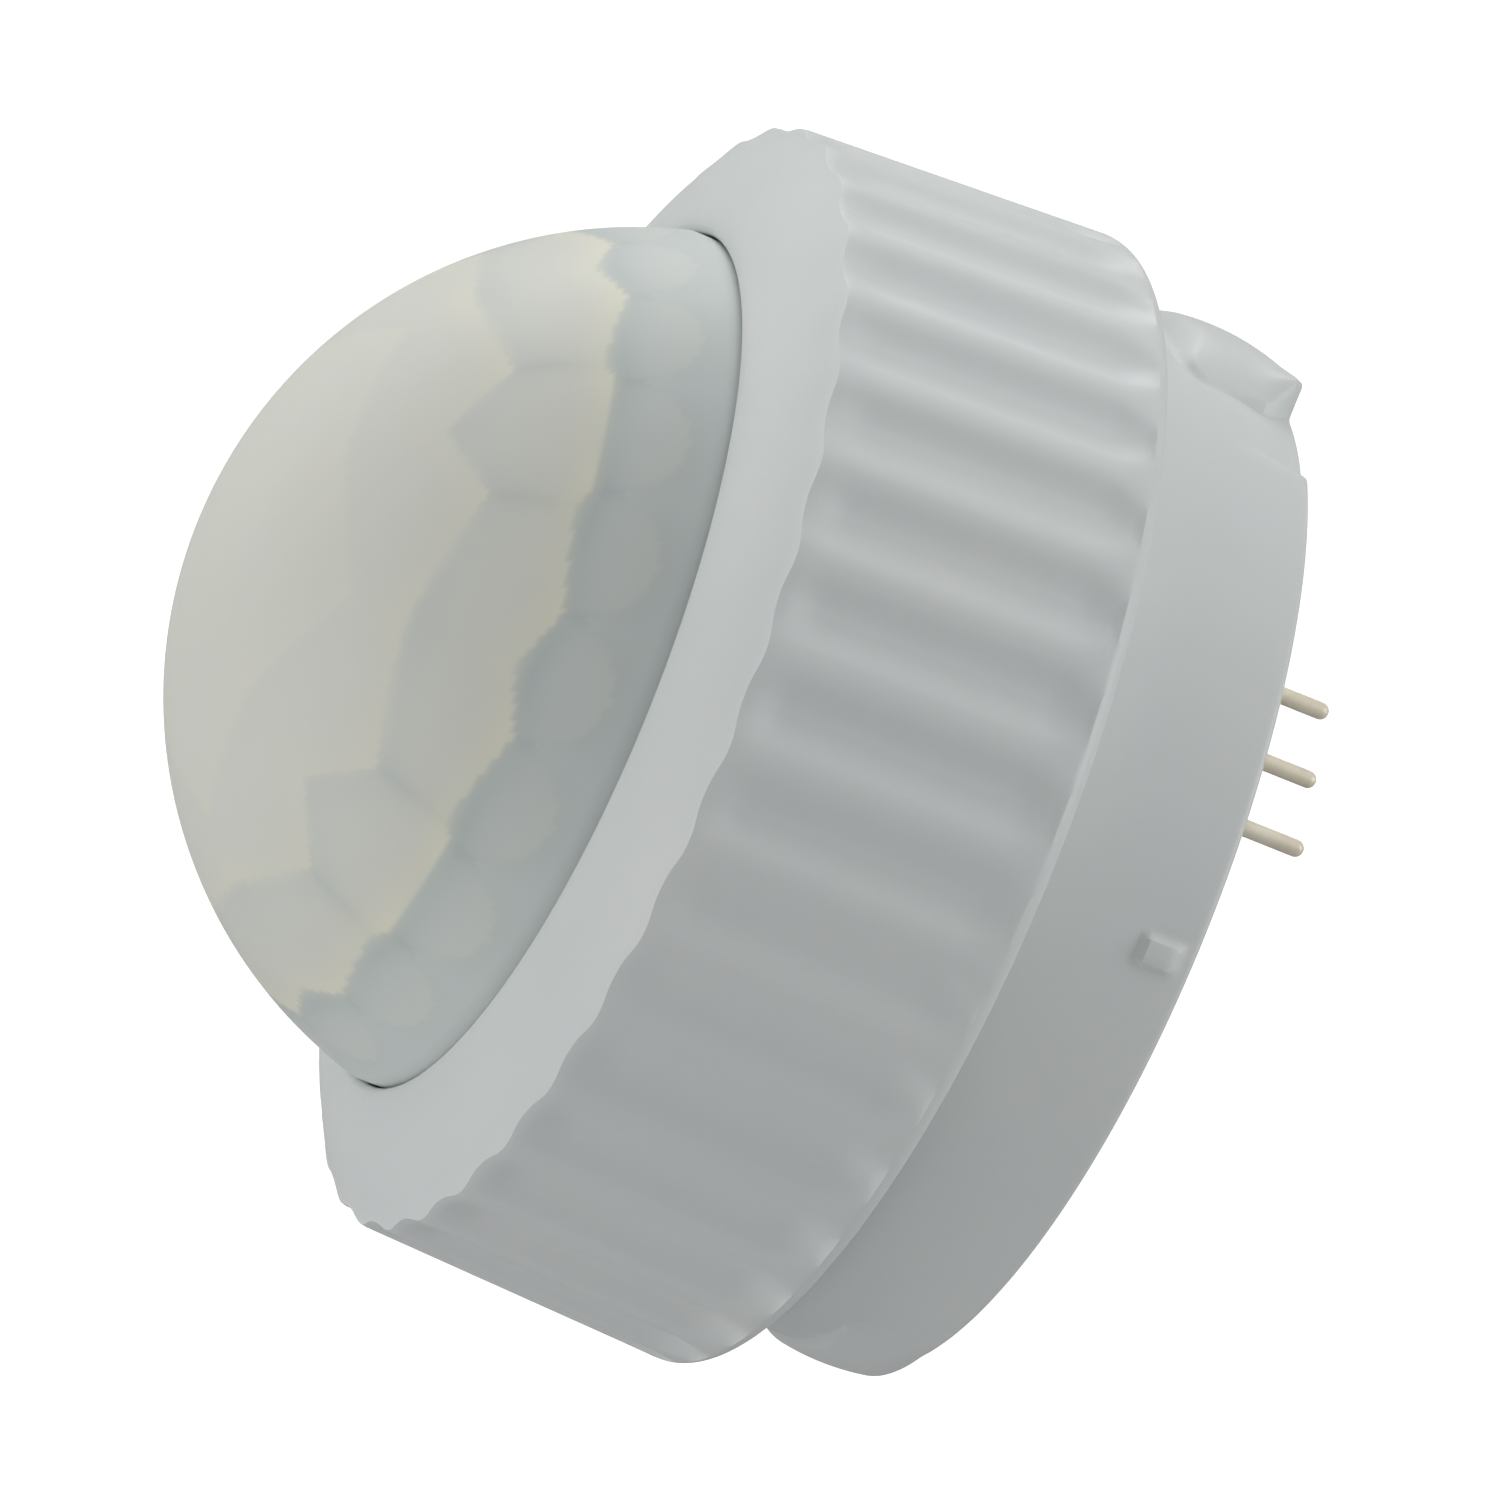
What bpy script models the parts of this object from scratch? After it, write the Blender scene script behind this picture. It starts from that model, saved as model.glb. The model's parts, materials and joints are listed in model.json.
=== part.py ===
"""Plug-in ceiling motion sensor: a lens dome held by a fluted screw ring on a round base.

Frame: metres, +Z points out of the lens, the origin is the centre of the base's back face.
Angles are counted from +X towards +Y. Every length below is in millimetres and is scaled by MM.
"""

import math

import bmesh
import bpy
from mathutils import Matrix, Vector

MM = 0.001
GAP = 0.3                      # clearance between pieces that seat on each other
EMBED = 0.5                    # how far a joined shape runs into its host
CUT_OVER = 1.0                 # how far a cutter runs past the face it opens
TURN_STEPS = 72                # steps of a full turn on the large turned pieces
LENS_STEPS = 60                # the same on the lens
SMALL_STEPS = 24               # steps of a full turn on small round pieces
EDGE_ANGLE = math.radians(35)  # creases sharper than this stay crisp

# ---- base shell ----
BASE_R = 33.4                  # outer radius of the band that shows behind the ring
BASE_WALL = 2.2
BASE_EDGE_R = 0.4              # rounding of the band's back edge
BAND_OVERLAP = 3.9             # how far the band runs up inside the ring
NECK_STEP = 2.2                # band radius less the radius of the neck that carries the thread
LEDGE_W = 1.2                  # inner ledge that the shroud rests on
LEDGE_H = 1.0

# ---- fluted ring ----
RING_BACK = 11.6               # height of the ring's back face
RING_H = 21.7                  # from there to the sharp front edge
RING_WALL = 3.85               # bore to the back edge
RING_TAPER = 1.0               # how much smaller the front edge's radius is
RING_EDGE_R = 1.2              # rounding of the ring's back edge
RING_BORE_GAP = 0.35           # ring over band
SHOULDER_H = 3.4               # crest of the shoulder beside the dome, above the front edge
LIP_ROUND = 0.5
SHOULDER_BULGE = 0.25          # how far the shoulder stands above a straight cone
FLUTES = 36
FLUTE_FIRST = math.radians(-6)
FLUTE_DEPTH = 0.6
FLUTE_R = 3.4                  # radius of the round cutter
FLUTE_STOP = 1.7               # plain rim left behind the flutes
BEAD_W = 0.7                   # snap bead under the lens flange
BEAD_H = 0.5
BEAD_GAP = 0.35

# ---- quick thread between ring and neck ----
THREAD_STARTS = 3
THREAD_LEAD = 12.0             # rise for a full turn
THREAD_ARC = math.radians(90)
THREAD_STEPS = 18
THREAD_START = 4.0             # middle of each neck ridge at its low end, above the band
THREAD_H = 1.8                 # ridge height at its root
THREAD_TIP_H = 1.2
THREAD_TIP_GAP = 0.75          # ridge tip to the facing wall
THREAD_FLANK_GAP = 0.4

# ---- lens ----
DOME_R = 28.16                 # radius at the boundary with the ring
DOME_RISE = 3.95               # height of that boundary above the ring's front edge
DOME_H = 21.6                  # dome height above it
LENS_WALL = 1.4
LIP_GAP = 0.3                  # ring lip round the dome
FLANGE_GAP = 0.35              # lens flange in the ring's bore
FLANGE_RISE = 0.1              # top of the flange above the ring's front edge
FLANGE_H = 1.4
GASKET_H = 0.7
GASKET_W = 1.8

# ---- bayonet lugs and key on the band ----
LUG_HEIGHT = (1.1, 0.8)        # above the band
LUG_FRONT = (8.1, 5.4)
LUG_START = (math.radians(-20.5), math.radians(145))
LUG_ARC = math.radians(52)
LUG_BACK = 0.4
LUG_ROUND = 0.35
LUG_STEPS = 8
KEY_ANGLE = math.radians(-94.7)
KEY_SIZE = (2.2, 0.5, 2.7)     # width, stand-off, length along Z
KEY_BACK = 1.2

# ---- back plate ----
PLATE_H = 2.2
PLATE_ROUND = 0.3
BOSS_R = 2.7
BOSS_INSET = 3.0               # boss centres inside the band's bore
BOSS_ANGLES = tuple(math.radians(a) for a in (90, 210, 330))
SCREW_R = 1.1
SCREW_HOLE_GAP = 0.3
SCREW_HEAD_R = 2.1
SCREW_HEAD_H = 1.3
SCREW_LEN = 8.0
SOCKET_R = 0.9
SOCKET_H = 0.6
SCREW_SINK = 0.2               # head below the back face

# ---- contact pins ----
PINS = 3
PIN_R = 0.55
PIN_PITCH = 5.08
PIN_ROW = (10.67, -16.2)       # place of the middle pin
PIN_OUT = 8.3                  # length behind the back face
PIN_TIP = 0.9
PIN_TOP = 8.4
BLOCK_END = 2.7                # block past the outer pins
BLOCK_W = 3.4
BLOCK_TOP = 6.0
BLOCK_FLANGE_W = 1.2           # flange on the inner side of the back plate
BLOCK_FLANGE_H = 1.2
PIN_GAP = 0.1

# ---- boards ----
BOARD_CLEAR = 0.9              # board edge to the bosses
BOARD_H = 1.6
POWER_Z = 6.4                  # underside of the power board
SENSOR_Z = 19.4                # underside of the sensor board
POST_INSET = 3.6               # post centres inside the board's edge
POST_ANGLES = tuple(math.radians(a) for a in (10, 130, 250))
POST_R = 2.6
POST_BORE_GAP = 0.2
BOARD_SCREW_R = 1.1
BOARD_SCREW_HEAD_R = 2.0
BOARD_SCREW_HEAD_H = 1.3
BOARD_SCREW_BITE = 4.0         # depth in the post

# ---- what the boards carry ----
CAP_R = 4.0
CAP_HEADROOM = 0.6             # capacitor to the board above it
CAP_AT = (-8.0, 9.0)
CHOKE_R = 3.6
CHOKE_H = 4.2
CHOKE_AT = (3.5, 12.5)
REGULATOR_SIZE = (6.5, 6.2, 2.4)
REGULATOR_AT = (-11.0, -5.0)
LINK_SIZE = (10.2, 2.5)
LINK_AT = (-17.0, 0.0)
LINK_PIN_R = 0.45
LINK_PINS = 4
LINK_PITCH = 2.54
CHIP_SIZE = (7.0, 7.0, 1.2)
CHIP_AT = (-2.0, -2.0)
PIR_R = 4.6
PIR_H = 4.2
PIR_FLANGE_R = 5.0
PIR_FLANGE_H = 0.5
PIR_HOLDER_R = 6.2
PIR_HOLDER_H = 3.4
PIR_WINDOW = (4.0, 3.0, 0.5)
PHOTO_R = 2.5
PHOTO_H = 2.4
PHOTO_AT = (11.5, -7.5)
LED_R = 1.5
LED_H = 4.2
LED_AT = (-12.5, -5.5)
REMOTE_SIZE = (5.4, 4.6, 5.2)
REMOTE_AT = (-9.5, 8.5)
DIAL_AT = ((3.0, 14.5), (12.5, 9.0), (14.5, 1.5))
DIAL_NAMES = ("sensitivity", "hold_time", "daylight")
POT_SIZE = (6.4, 6.4, 2.4)
POT_WELL_R = 2.4
POT_WELL_H = 1.4
DIAL_R = 2.1
DIAL_HUB_R = 1.0
DIAL_TOP = 4.3                 # height of the dial's grip above the board
SLOT = (0.8, 3.2, 0.8)

# ---- shroud ----
SHROUD_LIFT = 4.4              # ledge above the sensor board
SHROUD_H = 1.2
SHROUD_COLLAR_H = 3.0
SHROUD_COLLAR_WALL = 1.2
OPENING_GAP = 0.6

# ---- sizes that follow from those above ----
RING_BORE = BASE_R + RING_BORE_GAP
RING_BACK_R = RING_BORE + RING_WALL
RING_FRONT_R = RING_BACK_R - RING_TAPER
RING_FRONT = RING_BACK + RING_H
LIP_TOP = RING_FRONT + SHOULDER_H
DOME_Z = RING_FRONT + DOME_RISE
FLANGE_R = RING_BORE - FLANGE_GAP
FLANGE_TOP = RING_FRONT + FLANGE_RISE
FLANGE_BOTTOM = FLANGE_TOP - FLANGE_H
GASKET_TOP = FLANGE_BOTTOM - GAP
NECK_TOP = GASKET_TOP - GASKET_H - GAP
NECK_R = BASE_R - NECK_STEP
NECK_BORE = NECK_R - BASE_WALL
BAND_H = RING_BACK + BAND_OVERLAP
BAND_BORE = BASE_R - BASE_WALL
THREAD_Z = BAND_H + THREAD_START
BOSS_CIRCLE = BAND_BORE - BOSS_INSET
BOARD_R = BOSS_CIRCLE - BOSS_R - BOARD_CLEAR
POST_CIRCLE = BOARD_R - POST_INSET
POWER_TOP = POWER_Z + BOARD_H
SENSOR_TOP = SENSOR_Z + BOARD_H
LEDGE_TOP = SENSOR_TOP + SHROUD_LIFT
CAP_H = SENSOR_Z - POWER_TOP - GAP - CAP_HEADROOM
BLOCK_SIZE = ((PINS - 1) * PIN_PITCH + 2 * BLOCK_END, BLOCK_W)

FINISHES = {
    "white_shell": ((0.74, 0.76, 0.76), 0.42, 0.0),
    "milky_lens": ((0.78, 0.78, 0.72), 0.38, 0.0),
    "grey_rubber": ((0.30, 0.31, 0.32), 0.80, 0.0),
    "pin_metal": ((0.80, 0.74, 0.58), 0.30, 1.0),
    "black_plastic": ((0.03, 0.03, 0.03), 0.55, 0.0),
    "board_green": ((0.04, 0.17, 0.09), 0.50, 0.0),
    "steel": ((0.62, 0.62, 0.64), 0.32, 1.0),
    "sensor_glass": ((0.05, 0.04, 0.05), 0.15, 0.0),
    "copper_coil": ((0.60, 0.28, 0.12), 0.38, 1.0),
    "shroud_grey": ((0.45, 0.47, 0.48), 0.60, 0.0),
    "clear_resin": ((0.75, 0.30, 0.26), 0.20, 0.0),
    "dial_white": ((0.85, 0.85, 0.82), 0.45, 0.0),
    "blue_sleeve": ((0.06, 0.10, 0.30), 0.40, 0.0),
}


# ---------------------------------------------------------------- scene helpers
def clear_scene():
    for obj in list(bpy.data.objects):
        bpy.data.objects.remove(obj, do_unlink=True)


def new_collection(name):
    made = bpy.data.collections.new(name)
    bpy.context.scene.collection.children.link(made)
    return made


def finish(name):
    """The Principled material of this name, made once."""
    found = bpy.data.materials.get(name)
    if found:
        return found
    colour, roughness, metallic = FINISHES[name]
    made = bpy.data.materials.new(name)
    made.use_nodes = True
    shader = made.node_tree.nodes["Principled BSDF"]
    shader.inputs["Base Color"].default_value = (*colour, 1.0)
    shader.inputs["Roughness"].default_value = roughness
    shader.inputs["Metallic"].default_value = metallic
    return made


def add_object(name, bm, collection, finish_name=None, at=(0.0, 0.0, 0.0)):
    """Turns a bmesh given in millimetres round its own origin into an object placed at `at`."""
    bmesh.ops.scale(bm, vec=(MM, MM, MM), verts=bm.verts)
    mesh = bpy.data.meshes.new(name)
    bm.to_mesh(mesh)
    bm.free()
    obj = bpy.data.objects.new(name, mesh)
    obj.location = Vector(at) * MM
    collection.objects.link(obj)
    if finish_name:
        mesh.materials.append(finish(finish_name))
        mesh.shade_smooth()
        mesh.set_sharp_from_angle(angle=EDGE_ANGLE)
    return obj


def boolean(obj, cutter, operation="DIFFERENCE"):
    modifier = obj.modifiers.new(cutter.name, "BOOLEAN")
    modifier.operation = operation
    modifier.solver = "EXACT"
    modifier.object = cutter
    return modifier


def as_cutter(name, bm, at=(0.0, 0.0, 0.0)):
    obj = add_object(name, bm, CUTTERS, at=at)
    obj.hide_render = True
    obj.display_type = "WIRE"
    return obj


def polar(radius, angle, z=0.0):
    return Vector((radius * math.cos(angle), radius * math.sin(angle), z))


def arc(centre, radius, start, end, steps):
    """Points on an arc in the (radius, height) plane, with angles in degrees."""
    points = []
    for i in range(steps + 1):
        a = math.radians(start + (end - start) * i / steps)
        points.append((centre[0] + radius * math.cos(a), centre[1] + radius * math.sin(a)))
    return points


# ---------------------------------------------------------------- shapes
def turned(profile, steps):
    """A closed ring-shaped solid: the closed outline of (radius, height) points turned about Z."""
    bm = bmesh.new()
    corners = [bm.verts.new((r, 0.0, z)) for r, z in profile]
    edges = [bm.edges.new(pair) for pair in zip(corners, corners[1:] + corners[:1])]
    return revolved(bm, corners + edges, steps)


def turned_solid(profile, steps):
    """A solid without a bore: the open outline runs from the axis at the top to the axis below."""
    bm = bmesh.new()
    corners = [bm.verts.new((r, 0.0, z)) for r, z in profile]
    edges = [bm.edges.new(pair) for pair in zip(corners, corners[1:])]
    return revolved(bm, corners + edges, steps)


def revolved(bm, outline, steps):
    bmesh.ops.spin(bm, geom=outline, cent=(0, 0, 0), axis=(0, 0, 1), angle=2 * math.pi, steps=steps,
                   use_merge=True)
    bmesh.ops.remove_doubles(bm, verts=bm.verts, dist=1e-4)
    bmesh.ops.recalc_face_normals(bm, faces=bm.faces)
    return bm


def swept_sector(profile, start, sweep, steps, rise=0.0):
    """The closed outline swept part of a turn about Z, rising by `rise` on the way."""
    bm = bmesh.new()
    face = bm.faces.new([bm.verts.new((r, 0.0, z)) for r, z in profile])
    bmesh.ops.spin(bm, geom=[face, *face.edges, *face.verts], cent=(0, 0, 0), axis=(0, 0, 1),
                   dvec=(0, 0, rise / steps), angle=sweep, steps=steps)
    bmesh.ops.rotate(bm, verts=bm.verts, cent=(0, 0, 0), matrix=Matrix.Rotation(start, 3, "Z"))
    bmesh.ops.recalc_face_normals(bm, faces=bm.faces)
    return bm


def cylinder(radius, low, high, steps=SMALL_STEPS, top_radius=None):
    """A cylinder or cone along Z between two heights."""
    bm = bmesh.new()
    top = radius if top_radius is None else top_radius
    bmesh.ops.create_cone(bm, cap_ends=True, segments=steps, radius1=radius, radius2=top, depth=high - low)
    bmesh.ops.translate(bm, verts=bm.verts, vec=(0, 0, (low + high) / 2))
    return bm


def block(size, low, high):
    """A box centred on Z between two heights."""
    bm = bmesh.new()
    bmesh.ops.create_cube(bm, size=1.0)
    bmesh.ops.scale(bm, verts=bm.verts, vec=(size[0], size[1], high - low))
    bmesh.ops.translate(bm, verts=bm.verts, vec=(0, 0, (low + high) / 2))
    return bm


def joined(first, second, at=(0.0, 0.0, 0.0)):
    """Copies a second bmesh into the first, moved by `at`. Separate shells, for cutters and unions."""
    mesh = bpy.data.meshes.new("joined")
    bmesh.ops.translate(second, verts=second.verts, vec=at)
    second.to_mesh(mesh)
    second.free()
    first.from_mesh(mesh)
    bpy.data.meshes.remove(mesh)
    return first


def bevelled(bm, width):
    bmesh.ops.bevel(bm, geom=list(bm.edges), offset=width, segments=1, affect="EDGES")
    return bm


# ---------------------------------------------------------------- base shell
def thread_profile(root_r, tip_r, middle):
    """Trapezium section of a ridge that grows from root_r to tip_r."""
    slope = (THREAD_H - THREAD_TIP_H) / 2 / abs(tip_r - root_r)
    embed = math.copysign(EMBED, root_r - tip_r)
    foot = THREAD_H / 2 + slope * EMBED
    tip = THREAD_TIP_H / 2
    return [(root_r + embed, middle - foot), (tip_r, middle - tip),
            (tip_r, middle + tip), (root_r + embed, middle + foot)]


def thread_angle(i):
    return 2 * math.pi * i / THREAD_STARTS


def thread_ridge(root_r, tip_r, middle, i):
    rise = THREAD_LEAD * THREAD_ARC / (2 * math.pi)
    profile = thread_profile(root_r, tip_r, middle)
    return swept_sector(profile, thread_angle(i), THREAD_ARC, THREAD_STEPS, rise)


def make_base_shell():
    band_top_inside = BAND_H - BASE_WALL
    profile = [
        (NECK_R, NECK_TOP), (NECK_R, BAND_H), (BASE_R, BAND_H),
        *arc((BASE_R - BASE_EDGE_R, BASE_EDGE_R), BASE_EDGE_R, 0, -90, 4),
        (BAND_BORE, 0.0), (BAND_BORE, band_top_inside), (NECK_BORE, band_top_inside),
        (NECK_BORE, LEDGE_TOP - LEDGE_H), (NECK_BORE - LEDGE_W, LEDGE_TOP - LEDGE_H),
        (NECK_BORE - LEDGE_W, LEDGE_TOP), (NECK_BORE, LEDGE_TOP), (NECK_BORE, NECK_TOP),
    ]
    shell = add_object("base_shell", turned(profile, TURN_STEPS), PARTS, "white_shell")
    for i in range(THREAD_STARTS):
        ridge = thread_ridge(NECK_R, RING_BORE - THREAD_TIP_GAP, THREAD_Z, i)
        boolean(shell, as_cutter(f"neck_ridge_{i + 1}", ridge), "UNION")
    for i, (height, front, start) in enumerate(zip(LUG_HEIGHT, LUG_FRONT, LUG_START)):
        boolean(shell, as_cutter(f"lug_{i + 1}", lug(BASE_R + height, front, start)), "UNION")
    boolean(shell, as_cutter("key", key_block()), "UNION")
    for i, angle in enumerate(BOSS_ANGLES):
        boss = cylinder(BOSS_R, PLATE_H + GAP, band_top_inside + EMBED)
        place = polar(BOSS_CIRCLE, angle)
        boolean(shell, as_cutter(f"boss_{i + 1}", boss, at=place), "UNION")
        hole_top = SCREW_SINK + SCREW_HEAD_H + SCREW_LEN + CUT_OVER
        hole = cylinder(SCREW_R + PIN_GAP, PLATE_H - CUT_OVER, hole_top, 12)
        boolean(shell, as_cutter(f"boss_hole_{i + 1}", hole, at=place))
    return shell


def lug(outer, front, start):
    """A bayonet lug with rounded outer edges, standing on the band."""
    root = BASE_R - EMBED
    profile = [
        (root, front), (outer - LUG_ROUND, front),
        *arc((outer - LUG_ROUND, front - LUG_ROUND), LUG_ROUND, 60, 0, 2),
        *arc((outer - LUG_ROUND * 2, LUG_BACK + LUG_ROUND * 2), LUG_ROUND * 2, 0, -90, 3),
        (root, LUG_BACK),
    ]
    return swept_sector(profile, start, LUG_ARC, LUG_STEPS)


def key_block():
    width, proud, length = KEY_SIZE
    bm = block((2 * proud + EMBED, width, 1.0), KEY_BACK, KEY_BACK + length)
    bmesh.ops.translate(bm, verts=bm.verts, vec=(BASE_R - EMBED / 2, 0, 0))
    bmesh.ops.rotate(bm, verts=bm.verts, cent=(0, 0, 0), matrix=Matrix.Rotation(KEY_ANGLE, 3, "Z"))
    return bm


# ---------------------------------------------------------------- back plate
def make_back_plate():
    disc = cylinder(BAND_BORE - GAP, 0.0, PLATE_H, TURN_STEPS)
    rim = [e for e in disc.edges if all(v.co.z < PLATE_H / 2 for v in e.verts)]
    bmesh.ops.bevel(disc, geom=rim, offset=PLATE_ROUND, segments=1, affect="EDGES")
    plate = add_object("back_plate", disc, PARTS, "white_shell")
    for i, angle in enumerate(BOSS_ANGLES):
        hole = cylinder(SCREW_R + SCREW_HOLE_GAP, -CUT_OVER, PLATE_H + CUT_OVER, 12)
        sink = cylinder(SCREW_HEAD_R + SCREW_HOLE_GAP, -CUT_OVER, SCREW_SINK + SCREW_HEAD_H + PIN_GAP)
        place = polar(BOSS_CIRCLE, angle)
        boolean(plate, as_cutter(f"plate_hole_{i + 1}", hole, at=place))
        boolean(plate, as_cutter(f"plate_sink_{i + 1}", sink, at=place))
    for i, angle in enumerate(POST_ANGLES):
        post = cylinder(POST_R, PLATE_H - EMBED, POWER_Z - GAP)
        bore = cylinder(BOARD_SCREW_R + PIN_GAP, POWER_Z - GAP - BOARD_SCREW_BITE, POWER_Z + CUT_OVER, 12)
        place = polar(POST_CIRCLE, angle)
        boolean(plate, as_cutter(f"post_{i + 1}", post, at=place), "UNION")
        boolean(plate, as_cutter(f"post_bore_{i + 1}", bore, at=place))
    size = (BLOCK_SIZE[0] + 2 * GAP, BLOCK_SIZE[1] + 2 * GAP)
    window = block(size, -CUT_OVER, PLATE_H + CUT_OVER)
    boolean(plate, turned_to_pins(as_cutter("pin_window", window)))
    return plate


def pin_row_angle():
    """The row runs square to the line from the axis to its middle pin."""
    return math.atan2(PIN_ROW[1], PIN_ROW[0]) + math.pi / 2


def turned_to_pins(obj):
    obj.location = Vector((PIN_ROW[0], PIN_ROW[1], 0)) * MM
    obj.rotation_euler.z = pin_row_angle()
    return obj


def pin_place(i):
    along = (i - (PINS - 1) / 2) * PIN_PITCH
    angle = pin_row_angle()
    return Vector((PIN_ROW[0] + along * math.cos(angle), PIN_ROW[1] + along * math.sin(angle), 0))


def make_pin_block():
    bm = block(BLOCK_SIZE, 0.0, BLOCK_TOP)
    made = turned_to_pins(add_object("pin_block", bm, PARTS, "black_plastic"))
    size = (BLOCK_SIZE[0] + 2 * BLOCK_FLANGE_W, BLOCK_SIZE[1] + 2 * BLOCK_FLANGE_W)
    flange = block(size, PLATE_H + GAP, PLATE_H + GAP + BLOCK_FLANGE_H)
    boolean(made, turned_to_pins(as_cutter("block_flange", flange)), "UNION")
    for i in range(PINS):
        hole = cylinder(PIN_R + PIN_GAP, -CUT_OVER, BLOCK_TOP + CUT_OVER, 12)
        boolean(made, as_cutter(f"block_hole_{i + 1}", hole, at=pin_place(i)))
    return made


def make_pins():
    for i in range(PINS):
        profile = [(0.0, PIN_TOP), (PIN_R, PIN_TOP), (PIN_R, PIN_TIP - PIN_OUT),
                   (PIN_R * 0.75, PIN_TIP * 0.35 - PIN_OUT), (PIN_R * 0.35, -PIN_OUT), (0.0, -PIN_OUT)]
        add_object(f"contact_pin_{i + 1}", turned_solid(profile, 12), PARTS, "pin_metal", at=pin_place(i))


def screw(name, radius, head_radius, head_height, length, at, upside_down):
    """A pan head screw whose head's outer face is at the object's origin."""
    profile = [
        (0.0, 0.0), (head_radius - 0.3, 0.0), (head_radius, -0.3), (head_radius, -head_height),
        (radius, -head_height), (radius, -head_height - length + radius),
        (radius * 0.4, -head_height - length), (0.0, -head_height - length),
    ]
    made = add_object(name, turned_solid(profile, 16), PARTS, "steel", at=at)
    if upside_down:
        made.rotation_euler.x = math.pi
    socket = cylinder(SOCKET_R, -SOCKET_H, CUT_OVER, 6)
    cutter = as_cutter(f"{name}_socket", socket, at=at)
    cutter.rotation_euler = made.rotation_euler
    boolean(made, cutter)
    return made


def make_back_screws():
    for i, angle in enumerate(BOSS_ANGLES):
        at = polar(BOSS_CIRCLE, angle, SCREW_SINK)
        screw(f"back_screw_{i + 1}", SCREW_R, SCREW_HEAD_R, SCREW_HEAD_H, SCREW_LEN, at, True)


# ---------------------------------------------------------------- fluted ring
def shoulder():
    """Front face of the ring from its sharp edge up to the lip, slightly domed."""
    start = Vector((RING_FRONT_R, RING_FRONT))
    end = Vector((DOME_R + LIP_GAP + LIP_ROUND, LIP_TOP))
    side = Vector((end.y - start.y, start.x - end.x)).normalized()
    steps = 4
    points = []
    for i in range(steps + 1):
        t = i / steps
        bulge = SHOULDER_BULGE * 4 * t * (1 - t)
        points.append(tuple(start.lerp(end, t) + side * bulge))
    return points


def make_ring():
    lip = DOME_R + LIP_GAP
    underside = FLANGE_TOP + GAP
    bead_top = GASKET_TOP
    bead_r = FLANGE_R - BEAD_W
    profile = [
        (lip, LIP_TOP - LIP_ROUND),
        *reversed(shoulder()),
        *arc((RING_BACK_R - RING_EDGE_R, RING_BACK + RING_EDGE_R), RING_EDGE_R, 0, -90, 3),
        (RING_BORE, RING_BACK),
        (RING_BORE, bead_top - 2 * BEAD_H), (bead_r, bead_top - BEAD_H), (bead_r, bead_top),
        (RING_BORE, bead_top), (RING_BORE, underside), (lip, underside),
    ]
    ring = add_object("fluted_ring", turned(profile, TURN_STEPS), PARTS, "white_shell")
    offset = (THREAD_H + THREAD_TIP_H) / 2 + THREAD_FLANK_GAP
    for i in range(THREAD_STARTS):
        ridge = thread_ridge(RING_BORE, NECK_R + THREAD_TIP_GAP, THREAD_Z - offset, i)
        boolean(ring, as_cutter(f"ring_ridge_{i + 1}", ridge), "UNION")
    boolean(ring, as_cutter("flutes", flute_cutters()))
    return ring


def flute_cutters():
    """One capsule per flute, leaning with the ring's taper, open at the front, round at the back."""
    height = RING_FRONT - RING_BACK
    lean = math.atan2(RING_BACK_R - RING_FRONT_R, height)
    low = RING_BACK + FLUTE_STOP + FLUTE_DEPTH
    cutters = bmesh.new()
    for i in range(FLUTES):
        bm = bmesh.new()
        steps = 18
        bmesh.ops.create_cone(bm, cap_ends=True, segments=steps, radius1=FLUTE_R - FLUTE_DEPTH * 0.9,
                              radius2=FLUTE_R, depth=FLUTE_DEPTH * 1.6)
        bmesh.ops.translate(bm, verts=bm.verts, vec=(0, 0, low))
        top = [v for v in bm.verts if v.co.z > low]
        grown = bmesh.ops.extrude_face_region(bm, geom=[f for f in bm.faces if set(f.verts) == set(top)])
        moved = [v for v in grown["geom"] if isinstance(v, bmesh.types.BMVert)]
        bmesh.ops.translate(bm, verts=moved, vec=(0, 0, LIP_TOP + CUT_OVER - low))
        old = [f for f in bm.faces if set(f.verts) == set(top)]
        bmesh.ops.delete(bm, geom=old, context="FACES_ONLY")
        turn = Matrix.Rotation(math.pi / steps, 3, "Z")
        bmesh.ops.rotate(bm, verts=bm.verts, cent=(0, 0, 0), matrix=turn)
        bmesh.ops.rotate(bm, verts=bm.verts, cent=(0, 0, RING_BACK), matrix=Matrix.Rotation(-lean, 3, "Y"))
        bmesh.ops.translate(bm, verts=bm.verts, vec=(RING_BACK_R - FLUTE_DEPTH + FLUTE_R, 0, 0))
        around = Matrix.Rotation(FLUTE_FIRST + 2 * math.pi * i / FLUTES, 3, "Z")
        bmesh.ops.rotate(bm, verts=bm.verts, cent=(0, 0, 0), matrix=around)
        bmesh.ops.recalc_face_normals(bm, faces=bm.faces)
        joined(cutters, bm)
    return cutters


# ---------------------------------------------------------------- lens
def cap(radius, height, base_z, steps):
    """A spherical cap's outline from its apex down to its rim."""
    sphere = (radius ** 2 + height ** 2) / (2 * height)
    centre = base_z + height - sphere
    rim = math.degrees(math.asin((base_z - centre) / sphere))
    return arc((0.0, centre), sphere, 90, rim, steps)


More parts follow.
